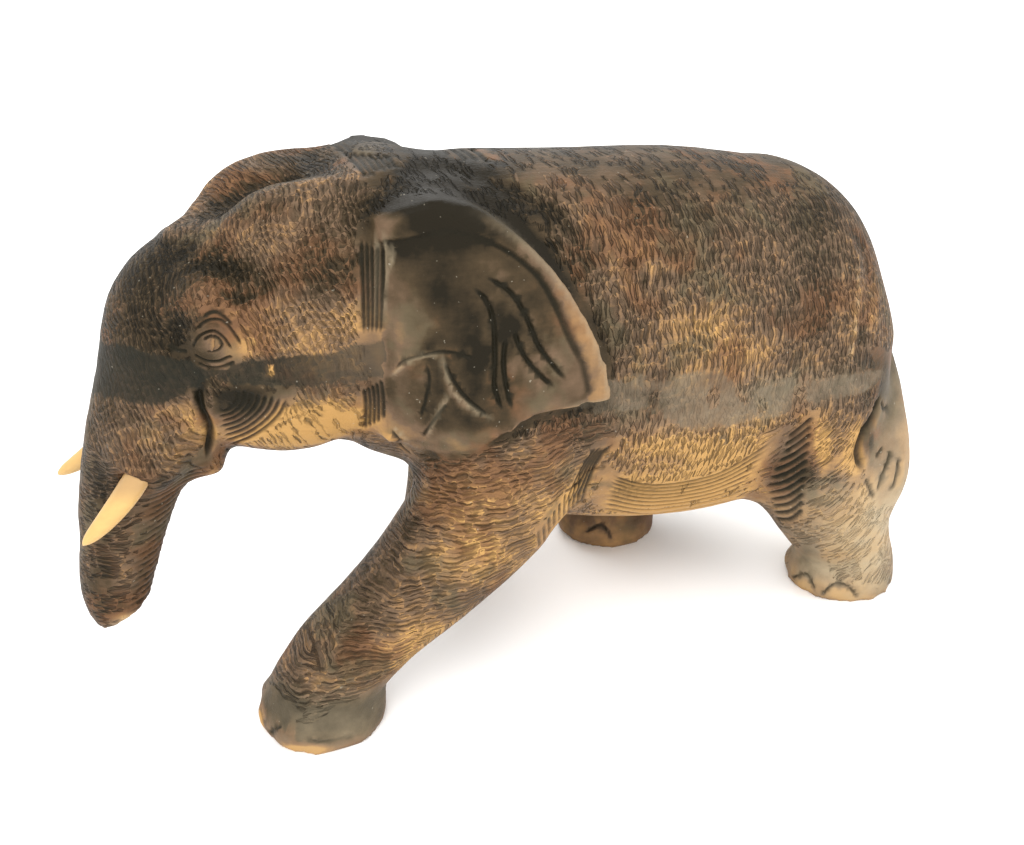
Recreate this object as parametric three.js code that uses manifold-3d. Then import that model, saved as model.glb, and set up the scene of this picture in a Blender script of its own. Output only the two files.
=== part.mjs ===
// Carved wooden elephant, striding, with two tusk pegs let into the face.
//
// The carving is one solid. Its form is a blend of simple volumes, meshed over a graded grid.
// It faces -X, its left side is -Y, and its four soles stand on the ground plane.

import * as THREE from "three";
import { mergeVertices } from "three/addons/utils/BufferGeometryUtils.js";
import Module from "manifold-3d";

const wasm = await Module();
wasm.setup();

// Driving sizes, in millimetres
const bodyLength = 540;
const tuskVisible = 43;
const tuskRoot = 12;
const tuskThick = 14;
const tuskBend = THREE.MathUtils.degToRad(16);
const socketClearance = 0.3;
const tuskSides = 12;
const tuskSteps = 7;

// Every proportion below is counted in parts, from the front of the trunk, from the middle plane
// and from the ground. The length from the foremost tusk's tip to the heel has 94.5 parts.
const part = bodyLength / 94.5;

// The barrel of the body: top line, belly line and half width at places along the length
const barrel = [
  { at: 32, top: 54.6, under: 24, half: 12 },
  { at: 40, top: 54, under: 17.5, half: 14.6 },
  { at: 52, top: 53.1, under: 13, half: 16.3 },
  { at: 65, top: 52.4, under: 10.6, half: 16.6 },
  { at: 75, top: 50.8, under: 10.6, half: 15.4 },
];
const chestCap = 8;
const rumpCap = 15.6;
const barrelSquareness = 2.2;

// Limbs: places down the middle line, with the half depth along the body and the half width
const limbs = {
  leftFore: [
    { x: 41, y: -8.6, z: 32, deep: 9.5, wide: 7 },
    { x: 39.8, y: -10.4, z: 23, deep: 8, wide: 6.8 },
    { x: 33, y: -11.4, z: 15.8, deep: 5.9, wide: 6.3 },
    { x: 26.6, y: -11.4, z: 10.2, deep: 4.9, wide: 5.6 },
    { x: 22.4, y: -11.2, z: 5.6, deep: 5.1, wide: 5.5 },
    { x: 21.1, y: -11.2, z: 1.2, deep: 6.5, wide: 6.4 },
  ],
  rightFore: [
    { x: 44, y: 8.6, z: 32, deep: 9, wide: 7 },
    { x: 44.6, y: 10.4, z: 22, deep: 7.2, wide: 6.8 },
    { x: 43.8, y: 11, z: 13, deep: 5.6, wide: 6 },
    { x: 42.4, y: 10.9, z: 6.5, deep: 5, wide: 5.4 },
    { x: 41.4, y: 10.8, z: 1.2, deep: 5.8, wide: 6 },
  ],
  leftHind: [
    { x: 77.4, y: -8.8, z: 30, deep: 11, wide: 7.4 },
    { x: 80.4, y: -10.6, z: 18, deep: 7.8, wide: 7 },
    { x: 83.6, y: -11, z: 11.5, deep: 7, wide: 6.4 },
    { x: 86.6, y: -11, z: 5.8, deep: 5.5, wide: 5.4 },
    { x: 87.2, y: -11, z: 1, deep: 6.9, wide: 6 },
  ],
  rightHind: [
    { x: 76.4, y: 8.8, z: 30, deep: 11, wide: 7.4 },
    { x: 75, y: 10.4, z: 18, deep: 8.8, wide: 7.2 },
    { x: 70, y: 10.8, z: 11, deep: 6.8, wide: 6.4 },
    { x: 66, y: 10.2, z: 5.6, deep: 5.5, wide: 5.4 },
    { x: 64.9, y: 9.8, z: 1, deep: 6.5, wide: 6.1 },
  ],
  trunk: [
    { x: 12.8, y: 0, z: 38, deep: 7.2, wide: 7.2 },
    { x: 8.8, y: 0, z: 31, deep: 5.7, wide: 5.8 },
    { x: 6.1, y: 0, z: 24.6, deep: 4.7, wide: 4.6 },
    { x: 4.5, y: 0, z: 18.5, deep: 4, wide: 4.1 },
    { x: 3.3, y: 0, z: 13, deep: 3.5, wide: 3.6 },
    { x: 3.7, y: 0, z: 8.6, deep: 2.7, wide: 3.2 },
  ],
  tail: [
    { x: 84, y: 0, z: 37, deep: 3, wide: 2.8 },
    { x: 88.2, y: -3, z: 31.5, deep: 3.2, wide: 2.6 },
    { x: 88.4, y: -8, z: 26.5, deep: 3.2, wide: 2.8 },
    { x: 87, y: -12, z: 21.5, deep: 3.9, wide: 3.4 },
    { x: 86.4, y: -13.6, z: 17.5, deep: 4.3, wide: 3.8 },
    { x: 87.4, y: -13.6, z: 13.8, deep: 3.1, wide: 2.8 },
  ],
};
const limbSteps = 4;

// The feet run this far below the ground before they are sawn off level with it
const footing = 2.2;

// The trunk is sawn off on a slant at its tip
const trunkCut = { x: 1.6, z: 9.9, lean: 0.5 };

// Round volumes of the head and neck; those off the middle plane come in pairs
const headVolumes = [
  { name: "skull", x: 21, y: 0, z: 41, rx: 13, ry: 10, rz: 9.8, blend: 4 },
  { name: "dome", x: 24.6, y: 4.7, z: 47.2, rx: 10, ry: 5, rz: 7.2, blend: 1.6 },
  { name: "forehead", x: 12.8, y: 0, z: 39, rx: 6.8, ry: 7, rz: 8.6, blend: 3 },
  { name: "cheek", x: 22.5, y: 4.2, z: 38, rx: 9, ry: 6.4, rz: 9.6, blend: 3 },
  { name: "jaw", x: 20.5, y: 0, z: 34.4, rx: 10, ry: 7.4, rz: 7.2, blend: 3 },
  { name: "neck", x: 30, y: 0, z: 42.3, rx: 8.5, ry: 11.4, rz: 11.4, blend: 3.2 },
  { name: "brow", x: 15.4, y: 7, z: 45, rx: 3.8, ry: 2.6, rz: 2.2, blend: 2.4 },
  { name: "tusk lip", x: 7.8, y: 4.9, z: 29.8, rx: 3.1, ry: 2.4, rz: 3.4, blend: 1.8 },
  { name: "lower lip", x: 13.4, y: 0, z: 28.2, rx: 2.2, ry: 4.8, rz: 3.8, blend: 1.2 },
];
const temple = { x: 16.6, y: 11.2, z: 48.6, rx: 4.2, ry: 2.8, rz: 3.4, blend: 2 };

// The ears: quarter rounds that stand off the shoulders, each with a lobe at its lower front
const ear = { front: 28.2, x: 33.5, z: 34, ahead: 18, behind: 14.6, rise: 19.4, power: 1.7, slope: 0.14 };
const earSheet = { front: 11, spread: 6.2, lean: 4.8, leanFrom: 41, leanOver: 10, lift: 2.6, thick: 4, freeFrom: 46 };
const earLobe = { x: 32, half: 8, drop: 2.6 };

// Eyes and toenails, which stand out of the surface as small rounds
const eye = { x: 13.9, y: 8.6, z: 42.2, rx: 1.7, ry: 1, rz: 1.3 };
const nail = { count: 3, spread: 0.62, out: 0.9, deep: 1, wide: 1.8, high: 1.7, z: 1.5 };

// Where a tusk leaves the face, and the point that it aims at
const tusks = {
  left: { seat: { x: 6.2, y: -5.9, z: 28 }, tip: { x: 2.2, y: -6.8, z: 23 } },
  right: { seat: { x: 5.6, y: 5.9, z: 27 }, tip: { x: 0.6, y: 7, z: 22.4 } },
};

// Grid lines: fine at the head and legs in front, coarser towards the rump
const gridAlong = { from: -3, bands: [{ until: 30, step: 2.05 }, { until: 52, step: 2.25 },
  { until: 84, step: 3.4 }, { until: 103, step: 2.5 }] };
const gridAcross = { from: -21, bands: [{ until: 21, step: 2.15 }] };
const gridUp = { from: -3.3, bands: [{ until: 59, step: 2.15 }] };
const creaseLimit = 0.55;
const creaseMiss = 0.3;

// Blending of volumes

function join(a, b, blend) {
  const overlap = Math.max(blend - Math.abs(a - b), 0) / blend;
  return Math.min(a, b) - overlap * overlap * blend / 4;
}

function carve(a, b, blend) {
  return -join(-a, b, blend);
}

// Signed distance, near enough, to an ellipsoid.
function ellipsoid(x, y, z, e) {
  const dx = (x - e.x) / e.rx;
  const dy = (y - e.y) / e.ry;
  const dz = (z - e.z) / e.rz;
  const k = Math.hypot(dx, dy, dz);
  const g = Math.hypot(dx / e.rx, dy / e.ry, dz / e.rz);
  return g < 1e-9 ? -Math.min(e.rx, e.ry, e.rz) : k * (k - 1) / g;
}

// A smooth run of values through rows keyed by their place along the length.
function profile(rows, key) {
  const slope = (i) => {
    const a = rows[Math.max(i - 1, 0)];
    const b = rows[Math.min(i + 1, rows.length - 1)];
    return (b[key] - a[key]) / (b.at - a.at);
  };
  return (at) => {
    const x = THREE.MathUtils.clamp(at, rows[0].at, rows[rows.length - 1].at);
    const next = Math.max(rows.findIndex((row) => row.at >= x), 1);
    const [a, b] = [rows[next - 1], rows[next]];
    const span = b.at - a.at;
    const t = (x - a.at) / span;
    const rest = 1 - t;
    return a[key] * (1 + 2 * t) * rest * rest + b[key] * (3 - 2 * t) * t * t
      + span * t * rest * (slope(next - 1) * rest - slope(next) * t);
  };
}

// A limb is a chain of short round stretches with a section that is deeper than it is wide.
function limbChain(rows) {
  const line = new THREE.CatmullRomCurve3(rows.map((row) => new THREE.Vector3(row.x, row.y, row.z)));
  const sizes = new THREE.CatmullRomCurve3(rows.map((row) => new THREE.Vector3(row.deep, row.wide, 0)));
  const count = (rows.length - 1) * limbSteps;
  const chain = [];
  for (let i = 0; i <= count; i++) {
    const size = sizes.getPoint(i / count);
    chain.push({ at: line.getPoint(i / count), deep: size.x, ratio: size.x / size.y });
  }
  return chain;
}

function limbField(chain, x, y, z) {
  let nearest = Infinity;
  for (let i = 1; i < chain.length; i++) {
    const [a, b] = [chain[i - 1], chain[i]];
    const ratio = (a.ratio + b.ratio) / 2;
    const [ux, uy, uz] = [b.at.x - a.at.x, (b.at.y - a.at.y) * ratio, b.at.z - a.at.z];
    const [px, py, pz] = [x - a.at.x, (y - a.at.y) * ratio, z - a.at.z];
    const t = THREE.MathUtils.clamp((px * ux + py * uy + pz * uz) / (ux * ux + uy * uy + uz * uz), 0, 1);
    const away = Math.hypot(px - ux * t, py - uy * t, pz - uz * t);
    nearest = Math.min(nearest, away - a.deep * (1 - t) - b.deep * t);
  }
  return nearest;
}

// The parts of the form

const barrelTop = profile(barrel, "top");
const barrelUnder = profile(barrel, "under");
const barrelHalf = profile(barrel, "half");
const barrelFront = barrel[0].at;
const barrelBack = barrel[barrel.length - 1].at;
const chains = Object.fromEntries(Object.entries(limbs).map(([name, rows]) => [name, limbChain(rows)]));

// The barrel's section is a squarish oval, and both ends are rounded off.
function barrelField(x, y, z) {
  const past = Math.max((barrelFront - x) / chestCap, (x - barrelBack) / rumpCap, 0);
  const cap = past < 1 ? Math.sqrt(1 - past * past) : 1 - past;
  const [top, under, half] = [barrelTop(x), barrelUnder(x), barrelHalf(x)];
  const middle = (top + under) / 2;
  const high = (top - under) / 2;
  const n = barrelSquareness;
  const spread = (Math.abs(y / half) ** n + (Math.abs(z - middle) / high) ** n) ** (1 / n);
  return (spread - cap) * Math.min(half, high);
}

function headField(x, y, z) {
  let field = Infinity;
  for (const volume of headVolumes) {
    const side = volume.y > 0 ? Math.abs(y) : y;
    const value = ellipsoid(x, side, z, volume);
    field = field === Infinity ? value : join(field, value, volume.blend);
  }
  return carve(field, ellipsoid(x, Math.abs(y), z, temple), temple.blend);
}

// The trunk ends in a flat face that leans back.
function trunkField(x, y, z) {
  const cut = (trunkCut.z + (x - trunkCut.x) * trunkCut.lean - z) / Math.hypot(1, trunkCut.lean);
  return Math.max(limbField(chains.trunk, x, y, z), cut);
}

// The ear's outline seen from the side, as a distance that is below zero inside.
function earOutline(x, z) {
  const along = Math.abs(x - ear.x) / (x < ear.x ? ear.ahead : ear.behind);
  const up = Math.max(z - ear.z, 0) / ear.rise;
  const round = ((along ** ear.power + up ** ear.power) ** (1 / ear.power) - 1) * ear.behind;
  const lobe = earLobe.drop * Math.max(1 - ((x - earLobe.x) / earLobe.half) ** 2, 0);
  const lower = ear.z + (x - ear.x - ear.behind / 2) * ear.slope - lobe - z;
  return Math.max(round, lower, ear.front - x);
}

// The ear rises out of the neck, follows the shoulder, and its top edge stands out straight.
function earField(x, y, z, body) {
  const span = ear.x + ear.behind - ear.front;
  const along = THREE.MathUtils.clamp((x - ear.front) / span, 0, 1);
  const rising = along * (2 - along);
  const lean = Math.max((z - earSheet.leanFrom) / earSheet.leanOver, 0) ** 2;
  const sheet = earSheet.front + earSheet.spread * rising - earSheet.lean * along * lean;
  const thick = earSheet.thick + Math.max(earSheet.freeFrom - z, 0);
  const slab = Math.max(Math.abs(y) - sheet, sheet - thick - Math.abs(y));
  return Math.max(earOutline(x, z), Math.min(slab, body - earSheet.lift * rising ** 0.5));
}

function elephantField(x, y, z) {
  let field = join(barrelField(x, y, z), headField(x, y, z), 4);
  for (const name of ["leftFore", "rightFore", "leftHind", "rightHind"]) {
    field = join(field, limbField(chains[name], x, y, z), 3);
  }
  field = join(field, earField(x, y, z, field), 0.3);
  field = join(field, trunkField(x, y, z), 2);
  field = join(field, limbField(chains.tail, x, y, z), 1.2);
  return Math.max(field, -z - footing);
}

// Meshing of the form

function gridLines({ from, bands }) {
  const lines = [from];
  for (const { until, step } of bands) {
    const count = Math.round((until - lines[lines.length - 1]) / step);
    const size = (until - lines[lines.length - 1]) / count;
    for (let i = 0; i < count; i++) {
      lines.push(lines[lines.length - 1] + size);
    }
  }
  return lines;
}

// Corners of a cell are numbered by the bits x, y, z. An edge is a pair of corners along an axis.
const cellEdges = [];
for (let axis = 0; axis < 3; axis++) {
  for (let corner = 0; corner < 8; corner++) {
    if (!(corner & (1 << axis))) {
      cellEdges.push({ axis, low: corner, high: corner | (1 << axis) });
    }
  }
}

// Inside corners belong together along edges; outside corners also across a face.
function cornerGroups(inside) {
  const groups = [0, 1, 2, 3, 4, 5, 6, 7];
  const merge = (a, b) => {
    const [keep, drop] = [groups[a], groups[b]];
    groups.forEach((group, i) => {
      groups[i] = group === drop ? keep : group;
    });
  };
  for (let a = 0; a < 8; a++) {
    for (let b = a + 1; b < 8; b++) {
      const steps = [1, 2, 4].filter((bit) => (a ^ b) & bit).length;
      if (inside[a] === inside[b] && steps <= (inside[a] ? 1 : 2)) {
        merge(a, b);
      }
    }
  }
  return groups;
}

// Where the surface crosses a grid edge, and which way it faces there.
function crossing(field, start, axis, length) {
  const at = (t) => {
    const p = [...start];
    p[axis] += t * length;
    return p;
  };
  let [low, high] = [0, 1];
  const startsInside = field(...start) < 0;
  for (let i = 0; i < 12; i++) {
    const middle = (low + high) / 2;
    if (field(...at(middle)) < 0 === startsInside) {
      low = middle;
    } else {
      high = middle;
    }
  }
  const point = at((low + high) / 2);
  const reach = 0.02;
  const facing = [0, 1, 2].map((i) => {
    const [ahead, behind] = [[...point], [...point]];
    ahead[i] += reach;
    behind[i] -= reach;
    return field(...ahead) - field(...behind);
  });
  return { point: new THREE.Vector3(...point), facing: new THREE.Vector3(...facing).normalize() };
}

// Moves a point onto the surface along the steepest way.
function drop(field, p) {
  const reach = 0.05;
  for (let i = 0; i < 2; i++) {
    const value = field(p.x, p.y, p.z);
    const slope = new THREE.Vector3(
      field(p.x + reach, p.y, p.z) - field(p.x - reach, p.y, p.z),
      field(p.x, p.y + reach, p.z) - field(p.x, p.y - reach, p.z),
      field(p.x, p.y, p.z + reach) - field(p.x, p.y, p.z - reach),
    ).divideScalar(2 * reach);
    p.addScaledVector(slope, -value / Math.max(slope.lengthSq(), 0.05));
  }
}

// A vertex starts amid its crossings and stays in its cell. At a crease it settles where the
// tangent planes meet, which lies on the surface there, and elsewhere it drops onto the surface.
function settle(field, crossings, low, high) {
  const start = new THREE.Vector3();
  crossings.forEach(({ point }) => start.addScaledVector(point, 1 / crossings.length));
  let p = start.clone();
  for (let i = 0; i < 24; i++) {
    const push = new THREE.Vector3();
    for (const { point, facing } of crossings) {
      push.addScaledVector(facing, facing.dot(point.clone().sub(p)) / crossings.length);
    }
    p.add(push);
  }
  const first = crossings[0].facing;
  const smooth = crossings.every(({ facing }) => facing.dot(first) > creaseLimit);
  if (smooth || Math.abs(field(p.x, p.y, p.z)) > creaseMiss) {
    p = start;
    drop(field, p);
  }
  const margin = high.clone().sub(low).multiplyScalar(0.02);
  return p.clamp(low.clone().add(margin), high.clone().sub(margin));
}

// The surface of a field: one vertex for each sheet in a cell, one face for each crossed edge.
function surfaceOf(field, xs, ys, zs) {
  const lines = [xs, ys, zs];
  const counts = lines.map((line) => line.length);
  const stride = [1, counts[0], counts[0] * counts[1]];
  const total = counts[0] * counts[1] * counts[2];
  const place = (node) => [0, 1, 2].map((i) => Math.floor(node / stride[i]) % counts[i]);
  const position = (node) => place(node).map((index, i) => lines[i][index]);
  const inside = new Uint8Array(total);
  for (let node = 0; node < total; node++) {
    inside[node] = field(...position(node)) < 0 ? 1 : 0;
  }
  const nodeOf = (cell, corner) => cell + (corner & 1) + (corner >> 1 & 1) * stride[1]
    + (corner >> 2) * stride[2];
  const found = new Map();
  const crossingOf = (node, axis) => {
    const key = node * 3 + axis;
    if (!found.has(key)) {
      const index = place(node)[axis];
      const length = lines[axis][index + 1] - lines[axis][index];
      found.set(key, crossing(field, position(node), axis, length));
    }
    return found.get(key);
  };
  const vertices = [];
  const vertexOf = new Map();
  for (let cell = 0; cell < total; cell++) {
    if (place(cell).some((index, i) => index >= counts[i] - 1)) {
      continue;
    }
    const corners = [0, 1, 2, 3, 4, 5, 6, 7].map((corner) => inside[nodeOf(cell, corner)]);
    const filled = corners.reduce((sum, value) => sum + value, 0);
    if (filled === 0 || filled === 8) {
      continue;
    }
    const groups = cornerGroups(corners);
    const sheets = new Map();
    cellEdges.forEach(({ axis, low, high }, number) => {
      if (corners[low] === corners[high]) {
        return;
      }
      const [within, outside] = corners[low] ? [low, high] : [high, low];
      const key = groups[within] * 8 + groups[outside];
      if (!sheets.has(key)) {
        sheets.set(key, []);
      }
      sheets.get(key).push({ number, crossing: crossingOf(nodeOf(cell, low), axis) });
    });
    const lowest = new THREE.Vector3(...position(cell));
    const highest = new THREE.Vector3(...position(nodeOf(cell, 7)));
    for (const sheet of sheets.values()) {
      const vertex = settle(field, sheet.map((edge) => edge.crossing), lowest, highest);
      sheet.forEach(({ number }) => vertexOf.set(cell * 12 + number, vertices.length));
      vertices.push(vertex);
    }
  }
  const triangles = [];
  for (const key of found.keys()) {
    const [node, axis] = [Math.floor(key / 3), key % 3];
    const [b, c] = [(axis + 1) % 3, (axis + 2) % 3];
    const around = [[0, 0], [1, 0], [1, 1], [0, 1]].map(([backB, backC]) => {
      const cell = node - backB * stride[b] - backC * stride[c];
      const low = backB * (1 << b) + backC * (1 << c);
      const number = cellEdges.findIndex((edge) => edge.axis === axis && edge.low === low);
      return vertexOf.get(cell * 12 + number);
    });
    const quad = inside[node] ? around : around.reverse();
    const offSurface = (a, b) => {
      const middle = vertices[quad[a]].clone().add(vertices[quad[b]]).multiplyScalar(0.5);
      return Math.abs(field(middle.x, middle.y, middle.z));
    };
    if (offSurface(0, 2) <= offSurface(1, 3)) {
      triangles.push(quad[0], quad[1], quad[2], quad[0], quad[2], quad[3]);
    } else {
      triangles.push(quad[0], quad[1], quad[3], quad[1], quad[2], quad[3]);
    }
  }
  return { vertices, triangles };
}

// Solids and geometries

function toSolid(geometry) {
  const vertProperties = new Float32Array(geometry.getAttribute("position").array);
  const triVerts = new Uint32Array(geometry.getIndex().array);
  const mesh = new wasm.Mesh({ numProp: 3, vertProperties, triVerts });
  mesh.merge();
  return new wasm.Manifold(mesh);
}

function toGeometry(solid) {
  const mesh = solid.getMesh();
  const geometry = new THREE.BufferGeometry();
  geometry.setAttribute("position", new THREE.BufferAttribute(Float32Array.from(mesh.vertProperties), 3));
  geometry.setIndex([...mesh.triVerts]);
  geometry.computeVertexNormals();
  return geometry;
}

function carvedForm() {
  const grid = [gridAlong, gridAcross, gridUp].map(gridLines);
  const { vertices, triangles } = surfaceOf(elephantField, ...grid);
  const geometry = new THREE.BufferGeometry();
  geometry.setFromPoints(vertices.map((vertex) => vertex.multiplyScalar(part)));
  geometry.setIndex(triangles);
  return toSolid(geometry);
}

// A small round, turned about the upright, that stands out of the surface.
function smallRound(deep, wide, high, at, turn) {
  const geometry = new THREE.SphereGeometry(1, 10, 7);
  geometry.scale(deep * part, wide * part, high * part);
  geometry.rotateZ(turn);
  geometry.translate(at.x * part, at.y * part, at.z * part);
  return toSolid(merged(geometry));
}

function eyes() {
  return [-1, 1].map((side) => smallRound(eye.rx, eye.ry, eye.rz, { ...eye, y: side * eye.y }, 0));
}

// Each foot has a row of nails around its front.
function nails() {
  const rounds = [];
  for (const name of ["leftFore", "rightFore", "leftHind", "rightHind"]) {
    const foot = limbs[name][limbs[name].length - 1];
    for (let i = 0; i < nail.count; i++) {
      const turn = (i - (nail.count - 1) / 2) * nail.spread;
      const x = foot.x - Math.cos(turn) * foot.deep * nail.out;
      const y = foot.y + Math.sin(turn) * foot.wide * nail.out;
      rounds.push(smallRound(nail.deep, nail.wide, nail.high, { x, y, z: nail.z }, -turn));
    }
  }
  return rounds;
}

// The block under the ground plane that the feet are cut level against.
function groundBlock() {
  const size = bodyLength * 2;
  const geometry = new THREE.BoxGeometry(size, size, size);
  geometry.translate(0, 0, -size / 2);
  return toSolid(merged(geometry));
}

// Tusk pegs

// A tusk lies along +Y: a straight root below zero, then a taper that bends towards -X.
function tuskGeometry() {
  const radius = tuskThick / 2;
  const profile = [new THREE.Vector2(0, -tuskRoot), new THREE.Vector2(radius, -tuskRoot)];
  for (let i = 0; i <= tuskSteps; i++) {
    const along = i / tuskSteps;
    const taper = i < tuskSteps ? Math.sqrt(1 - along ** 1.7) : 0;
    profile.push(new THREE.Vector2(radius * taper, tuskVisible * along));
  }
  const geometry = new THREE.LatheGeometry(profile, tuskSides);
  const positions = geometry.getAttribute("position");
  for (let i = 0; i < positions.count; i++) {
    const along = Math.max(positions.getY(i), 0) / tuskVisible;
    positions.setX(i, positions.getX(i) - tuskVisible * tuskBend * along * along / 2);
  }
  return geometry;
}

// The hole that a tusk's root sits in, a little larger than the root and open at the face.
function socketGeometry() {
  const radius = tuskThick / 2 + socketClearance;
  const floor = -tuskRoot - socketClearance;
  const profile = [[0, floor], [radius, floor], [radius, tuskVisible / 2], [0, tuskVisible / 2]];
  return new THREE.LatheGeometry(profile.map(([x, y]) => new THREE.Vector2(x, y)), tuskSides);
}

// Turns a shape that lies along +Y onto a tusk's seat, with its +X pointing down and back.
function seated(geometry, { seat: from, tip: to }) {
  const seat = new THREE.Vector3(from.x, from.y, from.z).multiplyScalar(part);
  const along = new THREE.Vector3(to.x, to.y, to.z).multiplyScalar(part).sub(seat).normalize();
  const across = new THREE.Vector3(0, -1, 0).cross(along).normalize();
  const turn = new THREE.Matrix4().makeBasis(across, along, across.clone().cross(along));
  geometry.applyMatrix4(turn);
  geometry.translate(seat.x, seat.y, seat.z);
  return geometry;
}

function merged(geometry) {
  geometry.deleteAttribute("normal");
  geometry.deleteAttribute("uv");
  return mergeVertices(geometry, 1e-3);
}

// The object, with its origin under the middle of its box

let carving = carvedForm();
for (const round of [...eyes(), ...nails()]) {
  carving = carving.add(round);
}
carving = carving.subtract(groundBlock());
for (const tusk of Object.values(tusks)) {
  carving = carving.subtract(toSolid(merged(seated(socketGeometry(), tusk))));
}

function piece(name, geometry, color, roughness) {
  const material = new THREE.MeshStandardMaterial({ color, roughness, metalness: 0 });
  const mesh = new THREE.Mesh(geometry, material);
  mesh.name = name;
  return mesh;
}

const elephant = new THREE.Group();
elephant.add(piece("elephant", toGeometry(carving), "#4a2c18", 0.5));
for (const [side, tusk] of Object.entries(tusks)) {
  elephant.add(piece(`tusk_${side}`, merged(seated(tuskGeometry(), tusk)), "#dcb57a", 0.45));
}

const box = new THREE.Box3().setFromObject(elephant);
const middle = box.getCenter(new THREE.Vector3());
for (const mesh of elephant.children) {
  mesh.position.set(-middle.x, -middle.y, -box.min.z);
}

export default elephant;
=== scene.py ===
"""Carved wooden elephant: its fine carving, its stained wood and its stage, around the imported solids."""

import math

import bmesh
import bpy
import numpy as np
from mathutils import Matrix, Vector
from mathutils.bvhtree import BVHTree
from mathutils.kdtree import KDTree


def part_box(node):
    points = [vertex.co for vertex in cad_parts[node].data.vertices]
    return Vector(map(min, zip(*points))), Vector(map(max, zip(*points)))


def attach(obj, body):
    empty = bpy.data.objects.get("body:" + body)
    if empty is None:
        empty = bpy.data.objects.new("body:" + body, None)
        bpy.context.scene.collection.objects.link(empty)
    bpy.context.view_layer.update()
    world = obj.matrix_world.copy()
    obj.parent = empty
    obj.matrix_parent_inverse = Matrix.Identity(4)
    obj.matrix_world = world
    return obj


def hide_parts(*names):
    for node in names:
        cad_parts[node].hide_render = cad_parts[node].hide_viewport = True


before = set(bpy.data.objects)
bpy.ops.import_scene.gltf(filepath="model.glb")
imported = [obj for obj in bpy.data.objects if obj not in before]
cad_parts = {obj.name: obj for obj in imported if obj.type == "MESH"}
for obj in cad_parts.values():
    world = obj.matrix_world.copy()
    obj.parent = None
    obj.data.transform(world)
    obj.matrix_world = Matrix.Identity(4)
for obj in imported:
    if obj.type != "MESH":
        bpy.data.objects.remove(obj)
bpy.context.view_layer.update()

bl_info = {
    "name": "Carved wooden elephant",
    "version": (1, 0, 0),
    "blender": (4, 5, 0),
    "location": "3D View > Sidebar > Elephant",
    "description": "A striding elephant carved from stained wood, with two pale tusk pegs",
    "category": "Object",
}

# Sizes are counted in parts of the length, as the solids are, and marks in millimetres
LENGTH = 0.54
PART = LENGTH / 94.5
SHIFT = np.array((-0.26685, -0.00032, 0.0))
MM = 0.001

# The camera that took the photograph, and the frame its pixels are counted in
CAMERA_AT = Vector(np.array((2.297, -97.034, 81.516)) * PART + SHIFT)
CAMERA_AZIMUTH = math.radians(-24.4)
CAMERA_ELEVATION = math.radians(28.5)
CAMERA_ROLL = math.radians(2.0)
FOCAL_PIXELS = 1100
PHOTO_WIDTH = 1024
PHOTO_HEIGHT = 845
SENSOR = 36

# Studio lights: place, width in metres and power in watts; they aim at the middle of the carving
LIGHTS = (
    ("key", (-0.9, -1.2, 1.9), 1.2, 23),
    ("fill", (1.4, -1.3, 1.2), 1.4, 12),
    ("back", (0.4, 1.6, 1.6), 1.4, 16),
)
LIGHTS_AIM = Vector((0, 0, 0.12))
WORLD_STRENGTH = 1.52
WORLD_COLOUR = (1.0, 0.995, 0.98, 1)
FLOOR_HALF = 6

# Middle lines of the limbs, from the top down: along, across, up, half depth
LIMBS = {
    "left_fore": ((41, -8.6, 32, 9.5), (39.8, -10.4, 23, 8), (33, -11.4, 15.8, 5.9),
                  (26.6, -11.4, 10.2, 4.9), (22.4, -11.2, 5.6, 5.1), (21.1, -11.2, 1.2, 6.5)),
    "right_fore": ((44, 8.6, 32, 9), (44.6, 10.4, 22, 7.2), (43.8, 11, 13, 5.6), (42.4, 10.9, 6.5, 5),
                   (41.4, 10.8, 1.2, 5.8)),
    "left_hind": ((77.4, -8.8, 30, 11), (80.4, -10.6, 18, 7.8), (83.6, -11, 11.5, 7), (86.6, -11, 5.8, 5.5),
                  (87.2, -11, 1, 6.9)),
    "right_hind": ((76.4, 8.8, 30, 11), (75, 10.4, 18, 8.8), (70, 10.8, 11, 6.8), (66, 10.2, 5.6, 5.5),
                   (64.9, 9.8, 1, 6.5)),
    "trunk": ((12.8, 0, 38, 7.2), (8.8, 0, 31, 5.7), (6.1, 0, 24.6, 4.7), (4.5, 0, 18.5, 4),
              (3.3, 0, 13, 3.5), (3.7, 0, 8.6, 2.7)),
}

# Behind the face, where the tusks are seated, and the plug that closes each socket, in millimetres
TUSK_SEATS = {"tusk_left": (7.4, -5.6, 29.6), "tusk_right": (7.0, 5.5, 28.6)}
PLUG_RADIUS = 9
PLUG_DEPTH = 15

# The ear's outline seen from the side, in parts, and how far its face is sunk, in millimetres
EAR = {"front": 28.2, "x": 33.5, "z": 34, "ahead": 18, "behind": 14.6, "rise": 19.4, "power": 1.7,
       "slope": 0.14}
EAR_LOBE = {"x": 32, "half": 8, "drop": 2.6}
EAR_SUNK = 2.3

# Grooves around the trunk: the pitch in parts and the depth in millimetres
TRUNK_RING_PITCH = 0.74
TRUNK_RING_DEPTH = 1.1

# How far back the trunk and the face reach, in parts
TRUNK_BACK = 13
FACE_BACK = 24

# The eye in the photograph: a middle and a reach in pixels, for the second and the third level of mesh
EYE_FINE = ((214, 343), 36)
EYE_FINEST = ((216, 341), 30)

# The mesh is finer this many millimetres beside a groove, on its first and its second level
FINE_MARGIN = 2.0
FINER_MARGIN = 1.7

# Rounds of smoothing that take the solid's facets out, and how much the carved relief is blurred
EVENING_ROUNDS = 22
RELIEF_BLUR = 0.28

# A groove reaches this many times its half width, and keeps some millimetres beside it free of nicks
GROOVE_FLARE = 1.35
FOLD_MARGIN = 2.2

# Spots along a carved line, in millimetres: their pitch, and the gap that a line doesn't bridge
SPOT_PITCH = 0.5
OPEN_GAP = 30

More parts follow.
